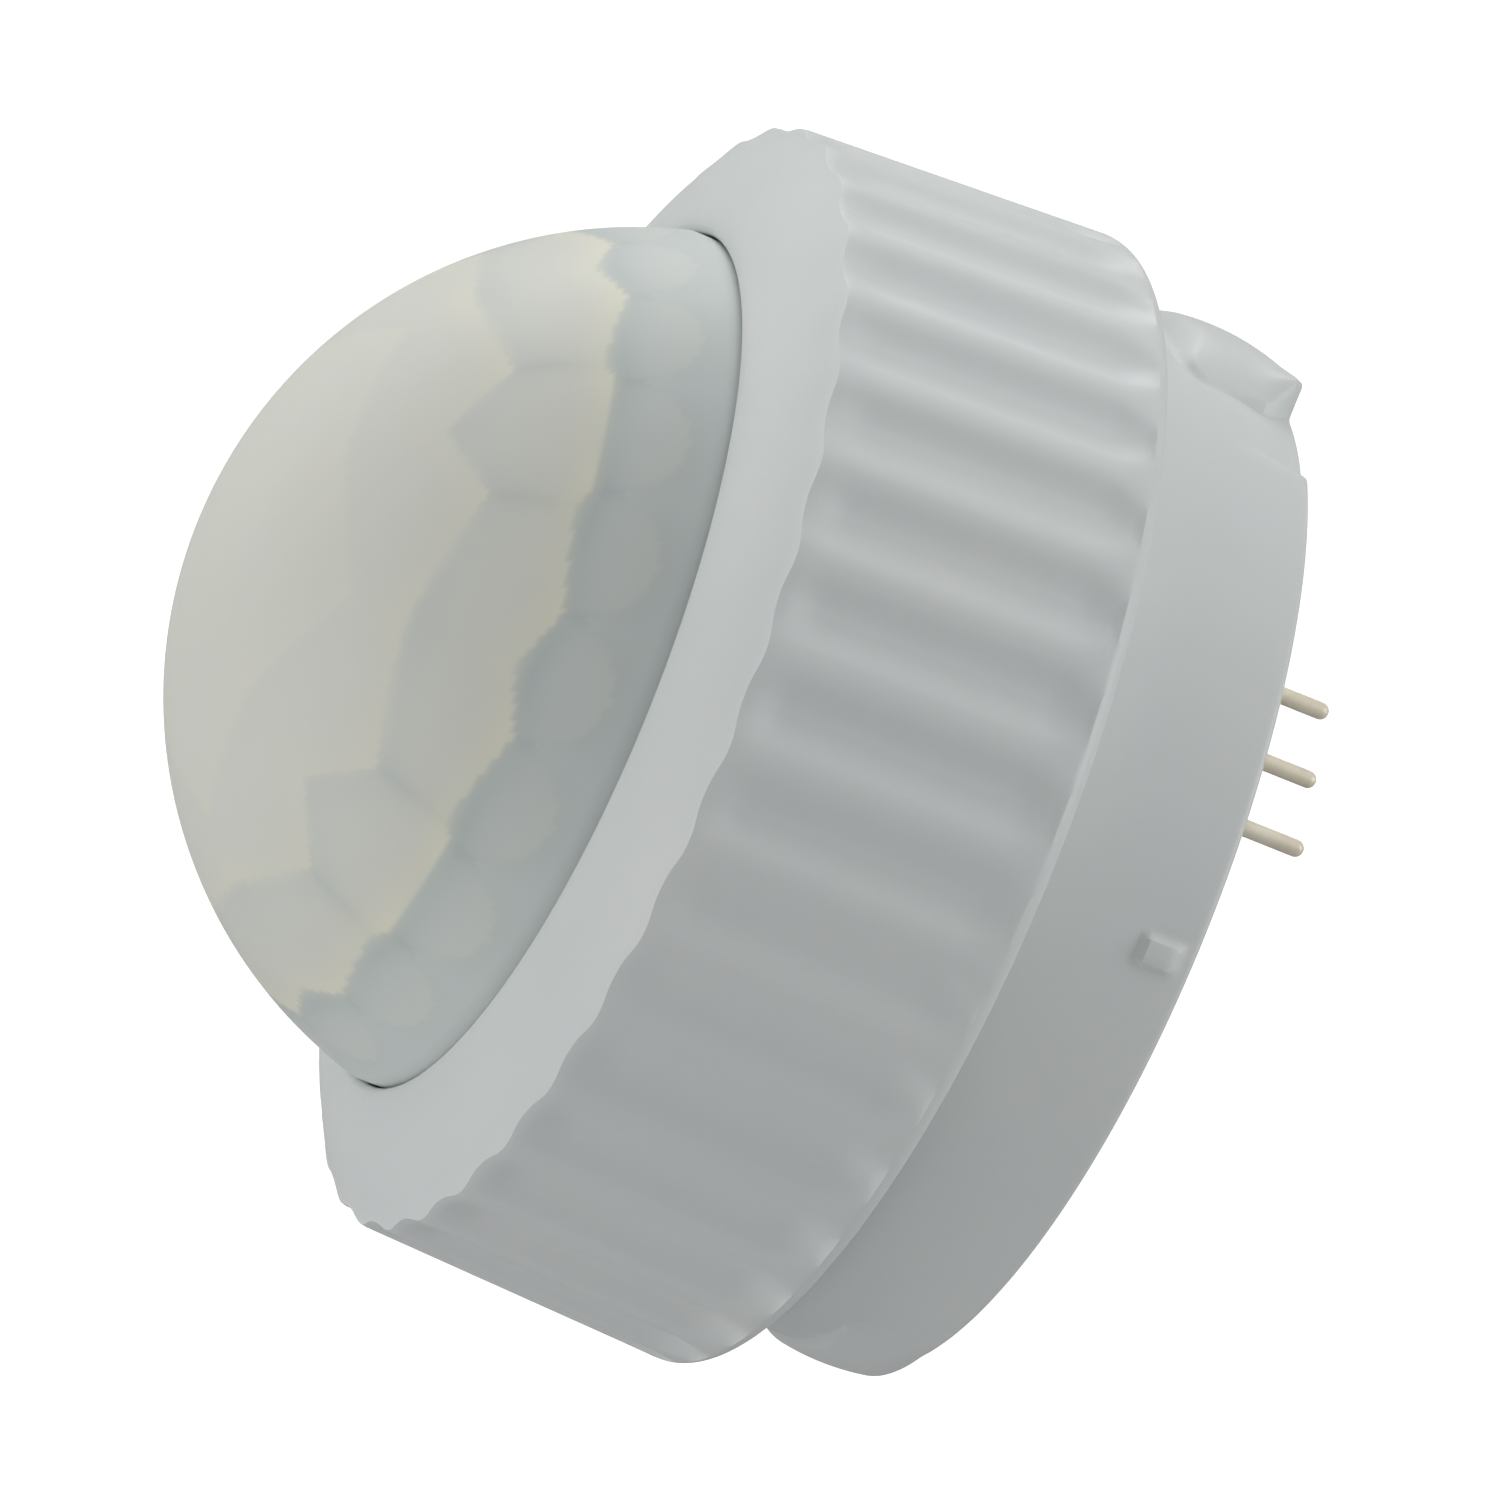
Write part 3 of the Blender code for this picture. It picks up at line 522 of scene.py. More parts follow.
@dataclass(frozen=True)
class MilkyLens:
    """Milky lens plastic in ivory and pale blue, with painted shade in blue grey and painted light
    in pale yellow where the prism facets inside bend the light.

    Attributes:
        ivory: tone where the light comes straight through.
        cool: pale blue of the outer row and the plain band.
        glow: painted light, pale yellow beside the facets' lower edges.
        shade: painted shade, blue grey below the facets' upper edges.
        roughness: mean roughness.
        milk_cells: cells of the milky mottle to the metre.
        wear_cells: patches of duller and brighter skin to the metre.
        grain: grain cells to the metre.
        grain_depth: depth of the grain.
        cool_name: attribute with the share of the pale blue.
        tone_name: attribute with the facets' painted shade.
        glow_name: attribute with the facets' painted light.
    """

    ivory: Colour = (0.75, 0.752, 0.685)
    cool: Colour = (0.695, 0.750, 0.740)
    glow: Colour = (0.90, 0.87, 0.69)
    shade: Colour = (0.52, 0.585, 0.58)
    roughness: float = 0.5
    milk_cells: float = 110.0
    wear_cells: float = 700.0
    grain: float = 4200.0
    grain_depth: float = 0.008 * MM
    cool_name: str = "facet_cool"
    tone_name: str = "facet_tone"
    glow_name: str = "facet_glow"

    def material(self, name: str) -> bpy.types.Material:
        """Builds the material.

        Args:
            name: name of the material.

        Returns:
            The material.
        """
        recipe = Recipe(name)
        cool = recipe.attribute(self.cool_name)
        milk = recipe.wander(self.milk_cells, -0.04, 0.04, 3.0)
        cloudy = recipe.add("ShaderNodeMath", {0: cool, 1: milk}, operation="ADD", use_clamp=True)
        body = recipe.blend(cloudy.outputs[0], self.ivory, self.cool)
        # Painted shade in blue grey and painted light in pale yellow, read from the facet
        # attributes.
        shaded = recipe.blend(recipe.attribute(self.tone_name), body, self.shade)
        recipe.set(Base_Color=recipe.blend(recipe.attribute(self.glow_name), shaded, self.glow))
        wear = recipe.wander(self.wear_cells, self.roughness - 0.04, self.roughness + 0.05, 3.0)
        normal = recipe.bump(recipe.noise(self.grain), 0.35, self.grain_depth)
        recipe.set(Roughness=wear, Normal=normal, Specular_IOR_Level=0.3, Subsurface_Weight=0.2,
                   Subsurface_Radius=(1.0, 0.95, 0.85), Subsurface_Scale=0.6 * MM)
        return recipe.material


@dataclass(frozen=True)
class DrawnMetal:
    """Drawn or turned metal with fine lengthwise lines and dull patches.

    Attributes:
        colour: bright colour.
        dull: colour of the tarnished patches.
        roughness: mean roughness.
        metallic: share of metal in the look.
        lines: line cells to the metre across the grain.
        stretch: width of a line cell as a share of its length.
        line_depth: depth of the lines.
        patch_cells: tarnished patches to the metre.
    """

    colour: Colour
    dull: Colour
    roughness: float = 0.3
    metallic: float = 1.0
    lines: float = 9000.0
    stretch: float = 0.06
    line_depth: float = 0.006 * MM
    patch_cells: float = 500.0

    def material(self, name: str) -> bpy.types.Material:
        """Builds the material.

        Args:
            name: name of the material.

        Returns:
            The material.
        """
        recipe = Recipe(name)
        patches = recipe.between(recipe.noise(self.patch_cells, 4.0), 0.4, 0.7)
        sockets = {"Vector": recipe.place(), "Scale": (1.0, 1.0, self.stretch)}
        stretched = recipe.add("ShaderNodeMapping", sockets).outputs["Vector"]
        lines = recipe.noise(self.lines, place=stretched)
        rough = recipe.between(lines, NOISE_LOW, NOISE_HIGH, self.roughness - 0.06,
                               self.roughness + 0.08)
        recipe.set(Base_Color=recipe.blend(patches, self.colour, self.dull), Roughness=rough,
                   Metallic=self.metallic, Normal=recipe.bump(lines, 0.3, self.line_depth))
        return recipe.material


@dataclass(frozen=True)
class CircuitBoard:
    """Glass-fibre board under solder resist: a fine weave and wide copper areas below the green.

    Attributes:
        resist: colour over bare laminate.
        copper: colour over the copper.
        areas: copper areas to the metre.
        track_depth: thickness of the copper.
        weave: threads of the cloth to the metre.
        weave_depth: depth of the cloth's print.
    """

    resist: Colour = (0.02, 0.13, 0.06)
    copper: Colour = (0.04, 0.24, 0.11)
    areas: float = 260.0
    track_depth: float = 0.03 * MM
    weave: float = 1500.0
    weave_depth: float = 0.01 * MM

    def material(self, name: str) -> bpy.types.Material:
        """Builds the material.

        Args:
            name: name of the material.

        Returns:
            The material.
        """
        recipe = Recipe(name)
        cells = recipe.add("ShaderNodeTexVoronoi", {"Vector": recipe.place(), "Scale": self.areas},
                           distance="CHEBYCHEV", feature="F1")
        tracks = recipe.between(cells.outputs["Distance"], 0.34, 0.36)
        weave = recipe.add("ShaderNodeTexWave", {"Vector": recipe.place(), "Scale": self.weave})
        normal = recipe.bump(tracks, 0.6, self.track_depth)
        recipe.set(Base_Color=recipe.blend(tracks, self.copper, self.resist),
                   Normal=recipe.bump(weave.outputs["Fac"], 0.2, self.weave_depth, normal),
                   Roughness=recipe.wander(800.0, 0.32, 0.46))
        return recipe.material


@dataclass(frozen=True)
class WoundCopper:
    """Enamelled wire wound in close turns.

    Attributes:
        wire: colour of the wire.
        gap: painted shade in the grooves between the turns.
        turns: turns to the metre of height.
        depth: depth of the grooves between the turns.
    """

    wire: Colour = (0.62, 0.26, 0.10)
    gap: Colour = (0.10, 0.035, 0.012)
    turns: float = 500.0
    depth: float = 0.1 * MM

    def material(self, name: str) -> bpy.types.Material:
        """Builds the material.

        Args:
            name: name of the material.

        Returns:
            The material.
        """
        recipe = Recipe(name)
        wave = recipe.add("ShaderNodeTexWave", {"Vector": recipe.place(), "Scale": self.turns},
                          wave_type="BANDS", bands_direction="Z")
        turns = wave.outputs["Fac"]
        # The dark gap colour is painted shade in the grooves between the turns; the bump is the
        # real groove.
        recipe.set(Base_Color=recipe.blend(turns, self.gap, self.wire), Metallic=0.8,
                   Normal=recipe.bump(turns, 0.8, self.depth),
                   Roughness=recipe.wander(900.0, 0.28, 0.42))
        return recipe.material


@dataclass(frozen=True)
class DarkGlass:
    """Coated filter glass or tinted resin with a faint mottle.

    Attributes:
        colour: body colour.
        tint: colour of the mottle.
        clear: share of light let through.
    """

    colour: Colour
    tint: Colour
    clear: float = 0.0

    def material(self, name: str) -> bpy.types.Material:
        """Builds the material.

        Args:
            name: name of the material.

        Returns:
            The material.
        """
        recipe = Recipe(name)
        mottle = recipe.between(recipe.noise(420.0, 3.0), 0.35, 0.7)
        recipe.set(Base_Color=recipe.blend(mottle, self.colour, self.tint),
                   Roughness=recipe.wander(1500.0, 0.10, 0.2),
                   Coat_Weight=0.5, Transmission_Weight=self.clear)
        return recipe.material


Finish = tuple[Slot, bpy.types.Material]


def finish_library() -> dict[Slot, bpy.types.Material]:
    """Makes one material for each slot of the record.

    Returns:
        The materials by slot.
    """
    finishes = {
        Slot.SHELL: MouldedPlastic((0.735, 0.762, 0.752), (0.715, 0.742, 0.737), softness=0.08),
        Slot.LENS: MilkyLens(),
        Slot.RUBBER: MouldedPlastic((0.28, 0.29, 0.30), (0.23, 0.24, 0.25), 0.8, 2600.0, 0.04 * MM),
        Slot.PINS: DrawnMetal((0.96, 0.89, 0.72), (0.86, 0.77, 0.60), 0.42, 0.15),
        Slot.BLACK: MouldedPlastic((0.022, 0.022, 0.024), (0.035, 0.035, 0.037), 0.55),
        Slot.BOARD: CircuitBoard(),
        Slot.STEEL: DrawnMetal((0.62, 0.62, 0.64), (0.50, 0.50, 0.53)),
        Slot.GLASS: DarkGlass((0.03, 0.025, 0.03), (0.07, 0.05, 0.07)),
        Slot.COPPER: WoundCopper(),
        Slot.SHROUD: MouldedPlastic((0.45, 0.47, 0.48), (0.42, 0.44, 0.45), 0.6),
        Slot.RESIN: DarkGlass((0.70, 0.10, 0.08), (0.80, 0.20, 0.14), 0.5),
        Slot.DIAL: MouldedPlastic((0.85, 0.85, 0.82), (0.80, 0.80, 0.77), 0.45),
        Slot.SLEEVE: MouldedPlastic((0.05, 0.09, 0.28), (0.07, 0.12, 0.34), 0.4),
    }
    return {slot: finish.material(f"{slot.value}_finish") for slot, finish in finishes.items()}


def settle(obj: bpy.types.Object, finish: Finish, body: str, *nodes: str) -> None:
    """Smooths and dresses a piece, and rides it on its body in place of its CAD nodes.

    Args:
        obj: the finished piece.
        finish: slot that the look comes from, and its material.
        body: name of the CAD body.
        *nodes: CAD nodes that the piece replaces.
    """
    slot, material = finish
    smooth(obj)
    obj.data.materials.clear()
    obj.data.materials.append(material)
    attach(obj, body)
    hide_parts(*nodes)
    log.info("%s: %d faces, rides on %s", obj.name, len(obj.data.polygons), body)


# ------------------------------------------------------------------ quick thread
@dataclass(frozen=True)
class QuickThread:
    """The three-start thread between the ring and the base's neck.

    Attributes:
        starts: ridges round the turn.
        lead: rise in a full turn.
        arc: length of each ridge in degrees.
        start_height: middle of a ridge at its low end.
        root_half: half the ridge's height at its root.
        tip_half: half its height at the tip.
        end_soft: run-out at each end in degrees.
    """

    start_height: float
    starts: int = 3
    lead: float = 12.0 * MM
    arc: float = 90.0
    root_half: float = 0.9 * MM
    tip_half: float = 0.6 * MM
    end_soft: float = 1.0

    def relief(self, angle: np.ndarray, height: np.ndarray) -> np.ndarray:
        """How far the ridges stand up, from 0 to 1.

        Args:
            angle: clockwise angle of each corner in degrees.
            height: height of each corner.

        Returns:
            The relief at each corner.
        """
        found = np.zeros_like(height)
        for i in range(self.starts):
            along = (-angle - 360.0 * i / self.starts) % 360.0
            middle = self.start_height + self.lead * along / 360.0
            flank = (self.root_half - np.abs(height - middle)) / (self.root_half - self.tip_half)
            ends = np.minimum(along, self.arc - along) / self.end_soft
            found = np.maximum(found, np.clip(flank, 0, 1) * np.clip(ends, 0, 1))
        return found


# ------------------------------------------------------------------ fluted ring
@dataclass
class ScrewRing:
    """The fluted ring that clamps the lens on the base.

    Attributes:
        finish: slot and material of the piece.
        segments: steps of the full turn, a multiple of the flutes.
        wall: bore to the back edge.
        taper: how much smaller the front edge's radius is.
        back_round: rounding of the back edge.
        edge_round: rounding of the front edge.
        shoulder_height: crest of the shoulder above the front edge.
        shoulder_bulge: how far the shoulder stands above a straight cone.
        shoulder_steps: steps of the shoulder from its edge to the lip.
        shoulder_depth: height of the shoulder's underside above the front edge.
        wall_row: height of the corner rows on the fluted wall.
        bore_row: height of the corner rows on the thread.
        plain_row: height of the other corner rows.
        run_out: radius on the shoulder at which the flutes' scallops have run out.
        lip_round: rounding of the lip round the dome.
        lip_gap: lip's bore to the dome.
        flutes: number of flutes.
        first_flute: angle of one flute's middle in degrees.
        flute_depth: depth of a flute.
        flute_half: half of a flute's width.
        flute_soft: how soft the flute's edges are, as a share of its depth.
        flute_stop: height above the back edge at which a flute starts to run out.
        flute_end: length of a flute's rounded end.
        fade: length over which the flutes run out towards the front edge.
        edge_share: share of a flute's depth that is left at the front edge.
        bead_width: width of the snap bead under the lens flange.
        bead_height: height of the bead's slope.
        bead_gap: gap between the bead and the lens flange.
        flange_width: width of the lens flange.
        wall_slack: how near to the wall's cone its corners lie.
        ridge_tip: thread ridge's tip radius.
        thread_height: middle of the thread at its low end.
    """

    finish: Finish
    segments: int = 720
    wall: float = 3.85 * MM
    taper: float = 1.0 * MM
    back_round: float = 1.2 * MM
    edge_round: float = 0.3 * MM
    shoulder_height: float = 3.4 * MM
    shoulder_bulge: float = 0.35 * MM
    shoulder_steps: int = 12
    shoulder_depth: float = 0.4 * MM
    wall_row: float = 0.45 * MM
    bore_row: float = 0.5 * MM
    plain_row: float = 1.0 * MM
    run_out: float = 28.96 * MM
    lip_round: float = 0.5 * MM
    lip_gap: float = 0.14 * MM
    flutes: int = 36
    first_flute: float = 6.0
    flute_depth: float = 0.74 * MM
    flute_half: float = 2.35 * MM
    flute_soft: float = 0.4
    flute_stop: float = 4.1 * MM
    flute_end: float = 3.2 * MM
    fade: float = 2.6 * MM
    edge_share: float = 0.58
    bead_width: float = 0.7 * MM
    bead_height: float = 0.5 * MM
    bead_gap: float = 0.3 * MM
    flange_width: float = 5.24 * MM
    wall_slack: float = 0.12 * MM
    ridge_tip: float = 31.95 * MM
    thread_height: float = 17.6 * MM

    def __post_init__(self) -> None:
        """Reads the ring's size from its CAD node."""
        low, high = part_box("fluted_ring")
        lens_low, lens_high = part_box("lens_dome")
        self.back, self.crest, self.back_radius = low.z, high.z, high.x
        self.bore = self.back_radius - self.wall
        self.front = self.crest - self.shoulder_height
        self.front_radius = self.back_radius - self.taper
        self.back_top = self.back + self.back_round
        self.bead_top = lens_low.z - self.bead_gap
        self.bead_radius = lens_high.x - self.bead_width
        self.lip = lens_high.x - self.flange_width + self.lip_gap
        self.underside = self.front + self.shoulder_depth

    def wall_radius(self, height: np.ndarray) -> np.ndarray:
        """Radius of the outer wall between its flutes."""
        share = (height - self.back_top) / (self.front - self.back_top)
        return self.back_radius - self.taper * share

    def shoulder(self) -> list[tuple[float, float]]:
        """The slightly domed front face, from the front edge up to the lip.

        Returns:
            Its points in the section.
        """
        start = Vector((self.front_radius - self.edge_round, self.front + self.edge_round * 0.45))
        end = Vector((self.lip + self.lip_round, self.crest))
        side = Vector((end.y - start.y, start.x - end.x)).normalized()
        run = []
        for i in range(self.shoulder_steps + 1):
            t = i / self.shoulder_steps
            run.append(tuple(start.lerp(end, t) + side * (self.shoulder_bulge * 4 * t * (1 - t))))
        return run

    def outline(self) -> Outline:
        """The ring's section: back edge, bore, snap bead, lip, shoulder and outer wall.

        Returns:
            The closed section.
        """
        soft = 0.2 * MM
        made = Outline().at(self.back_radius, self.back_top)
        made.arc((self.back_radius - self.back_round, self.back_top), self.back_round, -10, -90, 8)
        made.at(self.bore + soft, self.back).at(self.bore, self.back + soft)
        made.line(self.bore, self.bead_top - 2 * self.bead_height, self.bore_row)
        made.at(self.bead_radius, self.bead_top - self.bead_height)
        made.at(self.bead_radius, self.bead_top).at(self.bore, self.bead_top)
        made.line(self.bore, self.underside, self.plain_row)
        made.line(self.lip, self.underside, 1.5 * self.plain_row)
        made.line(self.lip, self.crest - self.lip_round, self.plain_row)
        rounded = (self.lip + self.lip_round, self.crest - self.lip_round)
        made.arc(rounded, self.lip_round, 165, 105, 4)
        made.points.extend(reversed(self.shoulder()))
        made.at(self.front_radius - self.edge_round * 0.25, self.front + self.edge_round * 0.2)
        made.at(self.front_radius, self.front - self.edge_round)
        made.line(self.back_radius, self.back_top, self.wall_row)
        made.points.pop()
        return made

    def flute(self, angle: np.ndarray, height: np.ndarray) -> np.ndarray:
        """Depth of the flutes at given places of the outer wall.

        Args:
            angle: clockwise angle in degrees.
            height: height in metres.

        Returns:
            The depth in metres.
        """
        pitch = 360.0 / self.flutes
        off = (angle - self.first_flute + pitch / 2) % pitch - pitch / 2
        across = np.radians(off) * self.back_radius / self.flute_half
        end = np.clip((self.back + self.flute_stop - height) / self.flute_end, 0.0, None)
        share = self.edge_share + (1 - self.edge_share) * ramp((self.front - height) / self.fade)
        level = 1.0 - across ** 2 - end ** 2
        softened = (level + np.sqrt(level ** 2 + self.flute_soft ** 2)) / 2
        rest = (np.sqrt(1.0 + self.flute_soft ** 2) - 1.0) / 2
        return self.flute_depth * share * np.clip(softened - rest * ramp(-level), 0, 1)

    def sink_flutes(self, cage: Cage) -> None:
        """Sinks the flutes into the wall and carries their scallops over the front edge.

        Args:
            cage: the ring's corners.
        """
        radius, height = cage.radius.copy(), cage.height.copy()
        rim = self.front_radius - self.edge_round - TOUCH
        edge = (height > self.front - TOUCH) & (radius >= rim)
        wall = (height >= self.back_top - TOUCH) & (height <= self.front + TOUCH) & ~edge
        wall &= np.abs(radius - self.wall_radius(height)) < self.wall_slack
        top = (height > self.front + 2 * TOUCH) & (radius > self.lip - TOUCH) & (radius < rim)
        across = self.front_radius - self.run_out
        slope = self.shoulder_height / across
        share = np.clip((radius - self.run_out) / across, 0, 1)
        share = np.where(edge, 1.0, np.where(top, share, 0.0))
        lift = np.clip((height - self.back_top) / (self.front - self.back_top), 0, 1)
        scallop = self.flute(cage.angle, np.full_like(height, self.front))
        cage.height = height + scallop * slope * np.where(wall, lift, share)
        depth = self.flute(cage.angle, cage.height)
        cage.radius = radius - np.where(wall, depth, scallop * share)

    def raise_thread(self, cage: Cage) -> None:
        """Raises the thread's ridges from the bore.

        Args:
            cage: the ring's corners.
        """
        bore = np.abs(cage.radius - self.bore) < TOUCH
        bore &= cage.height < self.bead_top - 2 * self.bead_height - TOUCH
        ridge = QuickThread(self.thread_height).relief(cage.angle, cage.height)
        cage.radius -= np.where(bore, ridge * (self.bore - self.ridge_tip), 0.0)

    def build(self) -> None:
        """Turns the ring, sinks the flutes and raises the thread."""
        obj = turned("screw_ring", self.outline(), self.segments, closed=True)
        cage = Cage(obj)
        self.sink_flutes(cage)
        self.raise_thread(cage)
        cage.write()
        settle(obj, self.finish, "ring", "fluted_ring")


# ------------------------------------------------------------------ lens
@dataclass(frozen=True)
class FacetRow:
    """One row of equal facets round the lens.

    Attributes:
        count: facets in the row.
        first: clockwise angle of one facet's middle in degrees.
        polar: angle of the row's middle from the apex in degrees.
        reach: power of the facets, as the square of their angular radius.
        cool: share of pale blue in the row.
        shade: how strongly its upper edges get painted shade.
        light: how strongly its lower edges get painted light.
        cut: how strongly its upright edges get painted shade.
    """

    count: int
    first: float
    polar: float
    reach: float
    cool: float
    shade: float
    light: float
    cut: float


# The shade, light and cut columns set each row's painted shade and painted light at its edges.
FACET_ROWS = (
    FacetRow(20, 92.0, 63.6, 0.0200, 0.72, 0.80, 1.00, 0.0),
    FacetRow(15, 104.0, 41.7, 0.1344, 0.14, 0.80, 1.00, 0.5),
    FacetRow(10, 110.0, 30.6, 0.2039, 0.04, 0.60, 0.75, 0.0),
    FacetRow(5, 92.0, 18.0, 0.2585, 0.02, 0.30, 0.35, 0.0),
    FacetRow(1, 0.0, 0.0, 0.3130, 0.0, 0.0, 0.1, 0.0),
)


@dataclass
class FacetPlaces:
    """Where given directions meet the facets, one row to a direction.

    Attributes:
        rays: the directions.
        best: number of the facet.
        inside: whether a facet is there at all, and not the plain band.
        gap: distance to the cut with each facet, in metres.
        rise: how far each facet lies towards the apex, from -1 to 1.
        to_band: distance to the plain band, in metres.
        drop: how far down its own facet the place lies, from 0 to 1.
    """

    rays: np.ndarray
    best: np.ndarray
    inside: np.ndarray
    gap: np.ndarray
    rise: np.ndarray
    to_band: np.ndarray
    drop: np.ndarray


def blurred_edge(distance: np.ndarray, blur: float) -> np.ndarray:
    """What is seen of the far side of an edge through a milky wall, from a half at the edge."""
    return 1.0 / (1.0 + np.exp(np.minimum(distance / blur, MOST_POWER)))


@dataclass
class FacetPattern:
    """Where the lens facets meet, and the painted shade and painted light that stand in for the
    light through each of them.

    Each facet is the part of the sphere where its own lens is the thickest, so neighbours meet
    along plane cuts and the outer row ends in round lobes.

    Attributes:
        radius: radius of the lens sphere.
        rows: the rows of facets from the rim to the apex.
        band_cool: share of pale blue in the plain band under the lobes.
        band_shade: painted shade on the band beside the lobes.
        dark_reach: how far the painted shade spreads below a facet's upper edge.
        dark_gain: strength of the painted shade.
        dark_square: extra strength where painted shades add up.
        dark_most: where the extra strength stops.
        cut_reach: how far the painted shade of an upright edge spreads.
        glow_reach: how far the painted light spreads above a facet's lower edge.
        glow_gain: strength of the painted light.
        pillow: rise of a facet's middle over its edge.
        pillow_reach: distance from the edge at which a facet is at full height.
        blur: softness of the facets' edges seen through the wall.
        lobe_glow: strength of the painted light at the foot of the round lobes.
        flush: clockwise angle in degrees of one upright cut that doesn't show and gets no painted
            shade.
        flush_pitch: angle from one such cut to the next.
        flush_half: half of the angle over which a cut gets no painted shade.
        flush_soft: angle over which it comes back.
    """

    radius: float
    rows: tuple[FacetRow, ...] = FACET_ROWS
    band_cool: float = 0.9
    band_shade: float = 0.30
    dark_reach: float = 2.0 * MM
    dark_gain: float = 0.35
    dark_square: float = 0.5
    dark_most: float = 1.3
    cut_reach: float = 0.8 * MM
    glow_reach: float = 1.1 * MM
    glow_gain: float = 0.75
    pillow: float = 0.35 * MM
    pillow_reach: float = 4.0 * MM
    blur: float = 0.34 * MM
    lobe_glow: float = 0.15
    flush: float = 92.0
    flush_pitch: float = 72.0
    flush_half: float = 6.0
    flush_soft: float = 12.0

    def __post_init__(self) -> None:
        """Lists the facets' middles."""
        middles, reaches, looks = [], [], []
        for row in self.rows:
            for i in range(row.count):
                turn = math.radians(row.first + 360.0 * i / row.count)
                polar = math.radians(row.polar)
                out = math.sin(polar)
                middles.append((out * math.cos(turn), -out * math.sin(turn), math.cos(polar)))
                reaches.append(row.reach)
                looks.append((row.cool, row.shade, row.light, row.cut))
        self.middles, self.reaches = np.array(middles), np.array(reaches)
        self.cools, self.shades, self.lights, self.cuts = np.array(looks).T
        away = self.middles[None, :, :] - self.middles[:, None, :]
        self.spans = np.maximum(np.linalg.norm(away, axis=2), SHORTEST)
        self.rises = away[:, :, 2] / self.spans

    def find(self, rays: np.ndarray) -> FacetPlaces:
        """Finds where given directions from the sphere's centre meet the pattern.

        Args:
            rays: unit vectors, one to a row.

        Returns:
            The places on the pattern.
        """
        own = np.arange(len(rays))
        power = self.reaches - (2.0 - 2.0 * rays @ self.middles.T)
        out = np.sqrt(np.maximum(self.reaches - power, SHORTEST ** 2))
        best, top = power.argmax(1), power.max(1)
        inside = top > 0
        within = inside[:, None]
        gap = (top[:, None] - power) / (2.0 * self.spans[best]) * self.radius
        gap = np.where(within, gap, -power / (2.0 * out) * self.radius)
        gap[own, best] = np.where(inside, FAR, gap[own, best])
        rise = np.where(within, self.rises[best], (self.middles[:, 2] - rays[:, 2:]) / out)
        to_band = np.abs(top / (2.0 * out[own, best]) * self.radius)
        drop = np.clip((self.middles[best, 2] - rays[:, 2]) / out[own, best], 0, 1)
        return FacetPlaces(rays, best, inside, gap, rise, to_band, drop)

    def painted_edge_shade_and_light(self, at: FacetPlaces) -> tuple[np.ndarray, np.ndarray]:
        """The painted shade below the facets' upper edges and the painted light above their lower
        ones.

        Args:
            at: the places on the pattern.

        Returns:
            The painted shade and the painted light at each place, before the rows' own strengths.
        """
        crossed = blurred_edge(at.gap, self.blur)
        up, down = np.clip(at.rise, 0, 1), np.clip(-at.rise, 0, 1)
        dark = up * np.exp(-at.gap / self.dark_reach) * (1 - crossed) + down * crossed
        glow = down * np.exp(-at.gap / self.glow_reach) * (1 - crossed) + up * crossed
        band_crossed = blurred_edge(at.to_band, self.blur)
        lobe = np.exp(-at.to_band / self.glow_reach) * (1 - band_crossed)
        lobe = np.where(at.inside, lobe, band_crossed)
        dark = np.where(at.inside, dark.sum(1), 0.0)
        return dark, np.where(at.inside, glow.sum(1), 0.0) + self.lobe_glow * at.drop * lobe

    def cut_shade(self, at: FacetPlaces) -> np.ndarray:
        """The painted shade beside the upright cuts, save the few that don't show.

        Args:
            at: the places on the pattern.

        Returns:
            The painted shade at each place, from 0 to 1.
        """
        turn = np.degrees(np.arctan2(-at.rays[:, 1], at.rays[:, 0])) - self.flush
        off = np.abs((turn + self.flush_pitch / 2) % self.flush_pitch - self.flush_pitch / 2)
        side = np.clip(1.0 - np.abs(at.rise) * 2.0, 0, 1) * np.exp(-at.gap / self.cut_reach)
        side = np.where(at.inside, side.max(1), 0.0)
        return side * ramp((off - self.flush_half) / self.flush_soft)

    def look(self, rays: np.ndarray) -> tuple[np.ndarray, ...]:
        """Reads the pattern in given directions from the sphere's centre.

        Args:
            rays: unit vectors, one to a row.

        Returns:
            The pale blue, the painted shade, the painted edge light and the height of the facet,
            each from 0 to 1.
        """
        at = self.find(rays)
        own = np.arange(len(rays))
        share = np.exp(-at.gap / self.blur)
        share[own, at.best] = np.where(at.inside, 1.0, share[own, at.best])
        total = share.sum(1)
        band = np.where(at.inside, np.exp(-at.to_band / self.blur), 1.0)
        cool = (share @ self.cools + band * self.band_cool) / (total + band)

        # Painted shade below the facets' upper edges and painted light above their lower ones.
        dark, glow = self.painted_edge_shade_and_light(at)
        grown = self.dark_gain * dark + self.dark_square * np.clip(dark, 0, self.dark_most) ** 2
        grown += self.cuts[at.best] * self.cut_shade(at)
        tone = np.clip(grown, 0, 1) * (share @ self.shades) / total
        # Painted shade on the plain band beside the lobes.
        beside = self.band_shade * np.exp(-at.to_band / self.dark_reach)
        tone = np.where(at.inside, tone + beside * band * (1 - at.drop), beside)
        light = self.glow_gain * np.clip(glow, 0, 1) * (share @ self.lights) / total

        full = np.clip(np.minimum(at.gap.min(1), at.to_band) / self.pillow_reach, 0, 1)
        height = np.where(at.inside, 1 - (1 - full) ** 2, 0.0)
        return cool, np.clip(tone, 0, 1), light, height


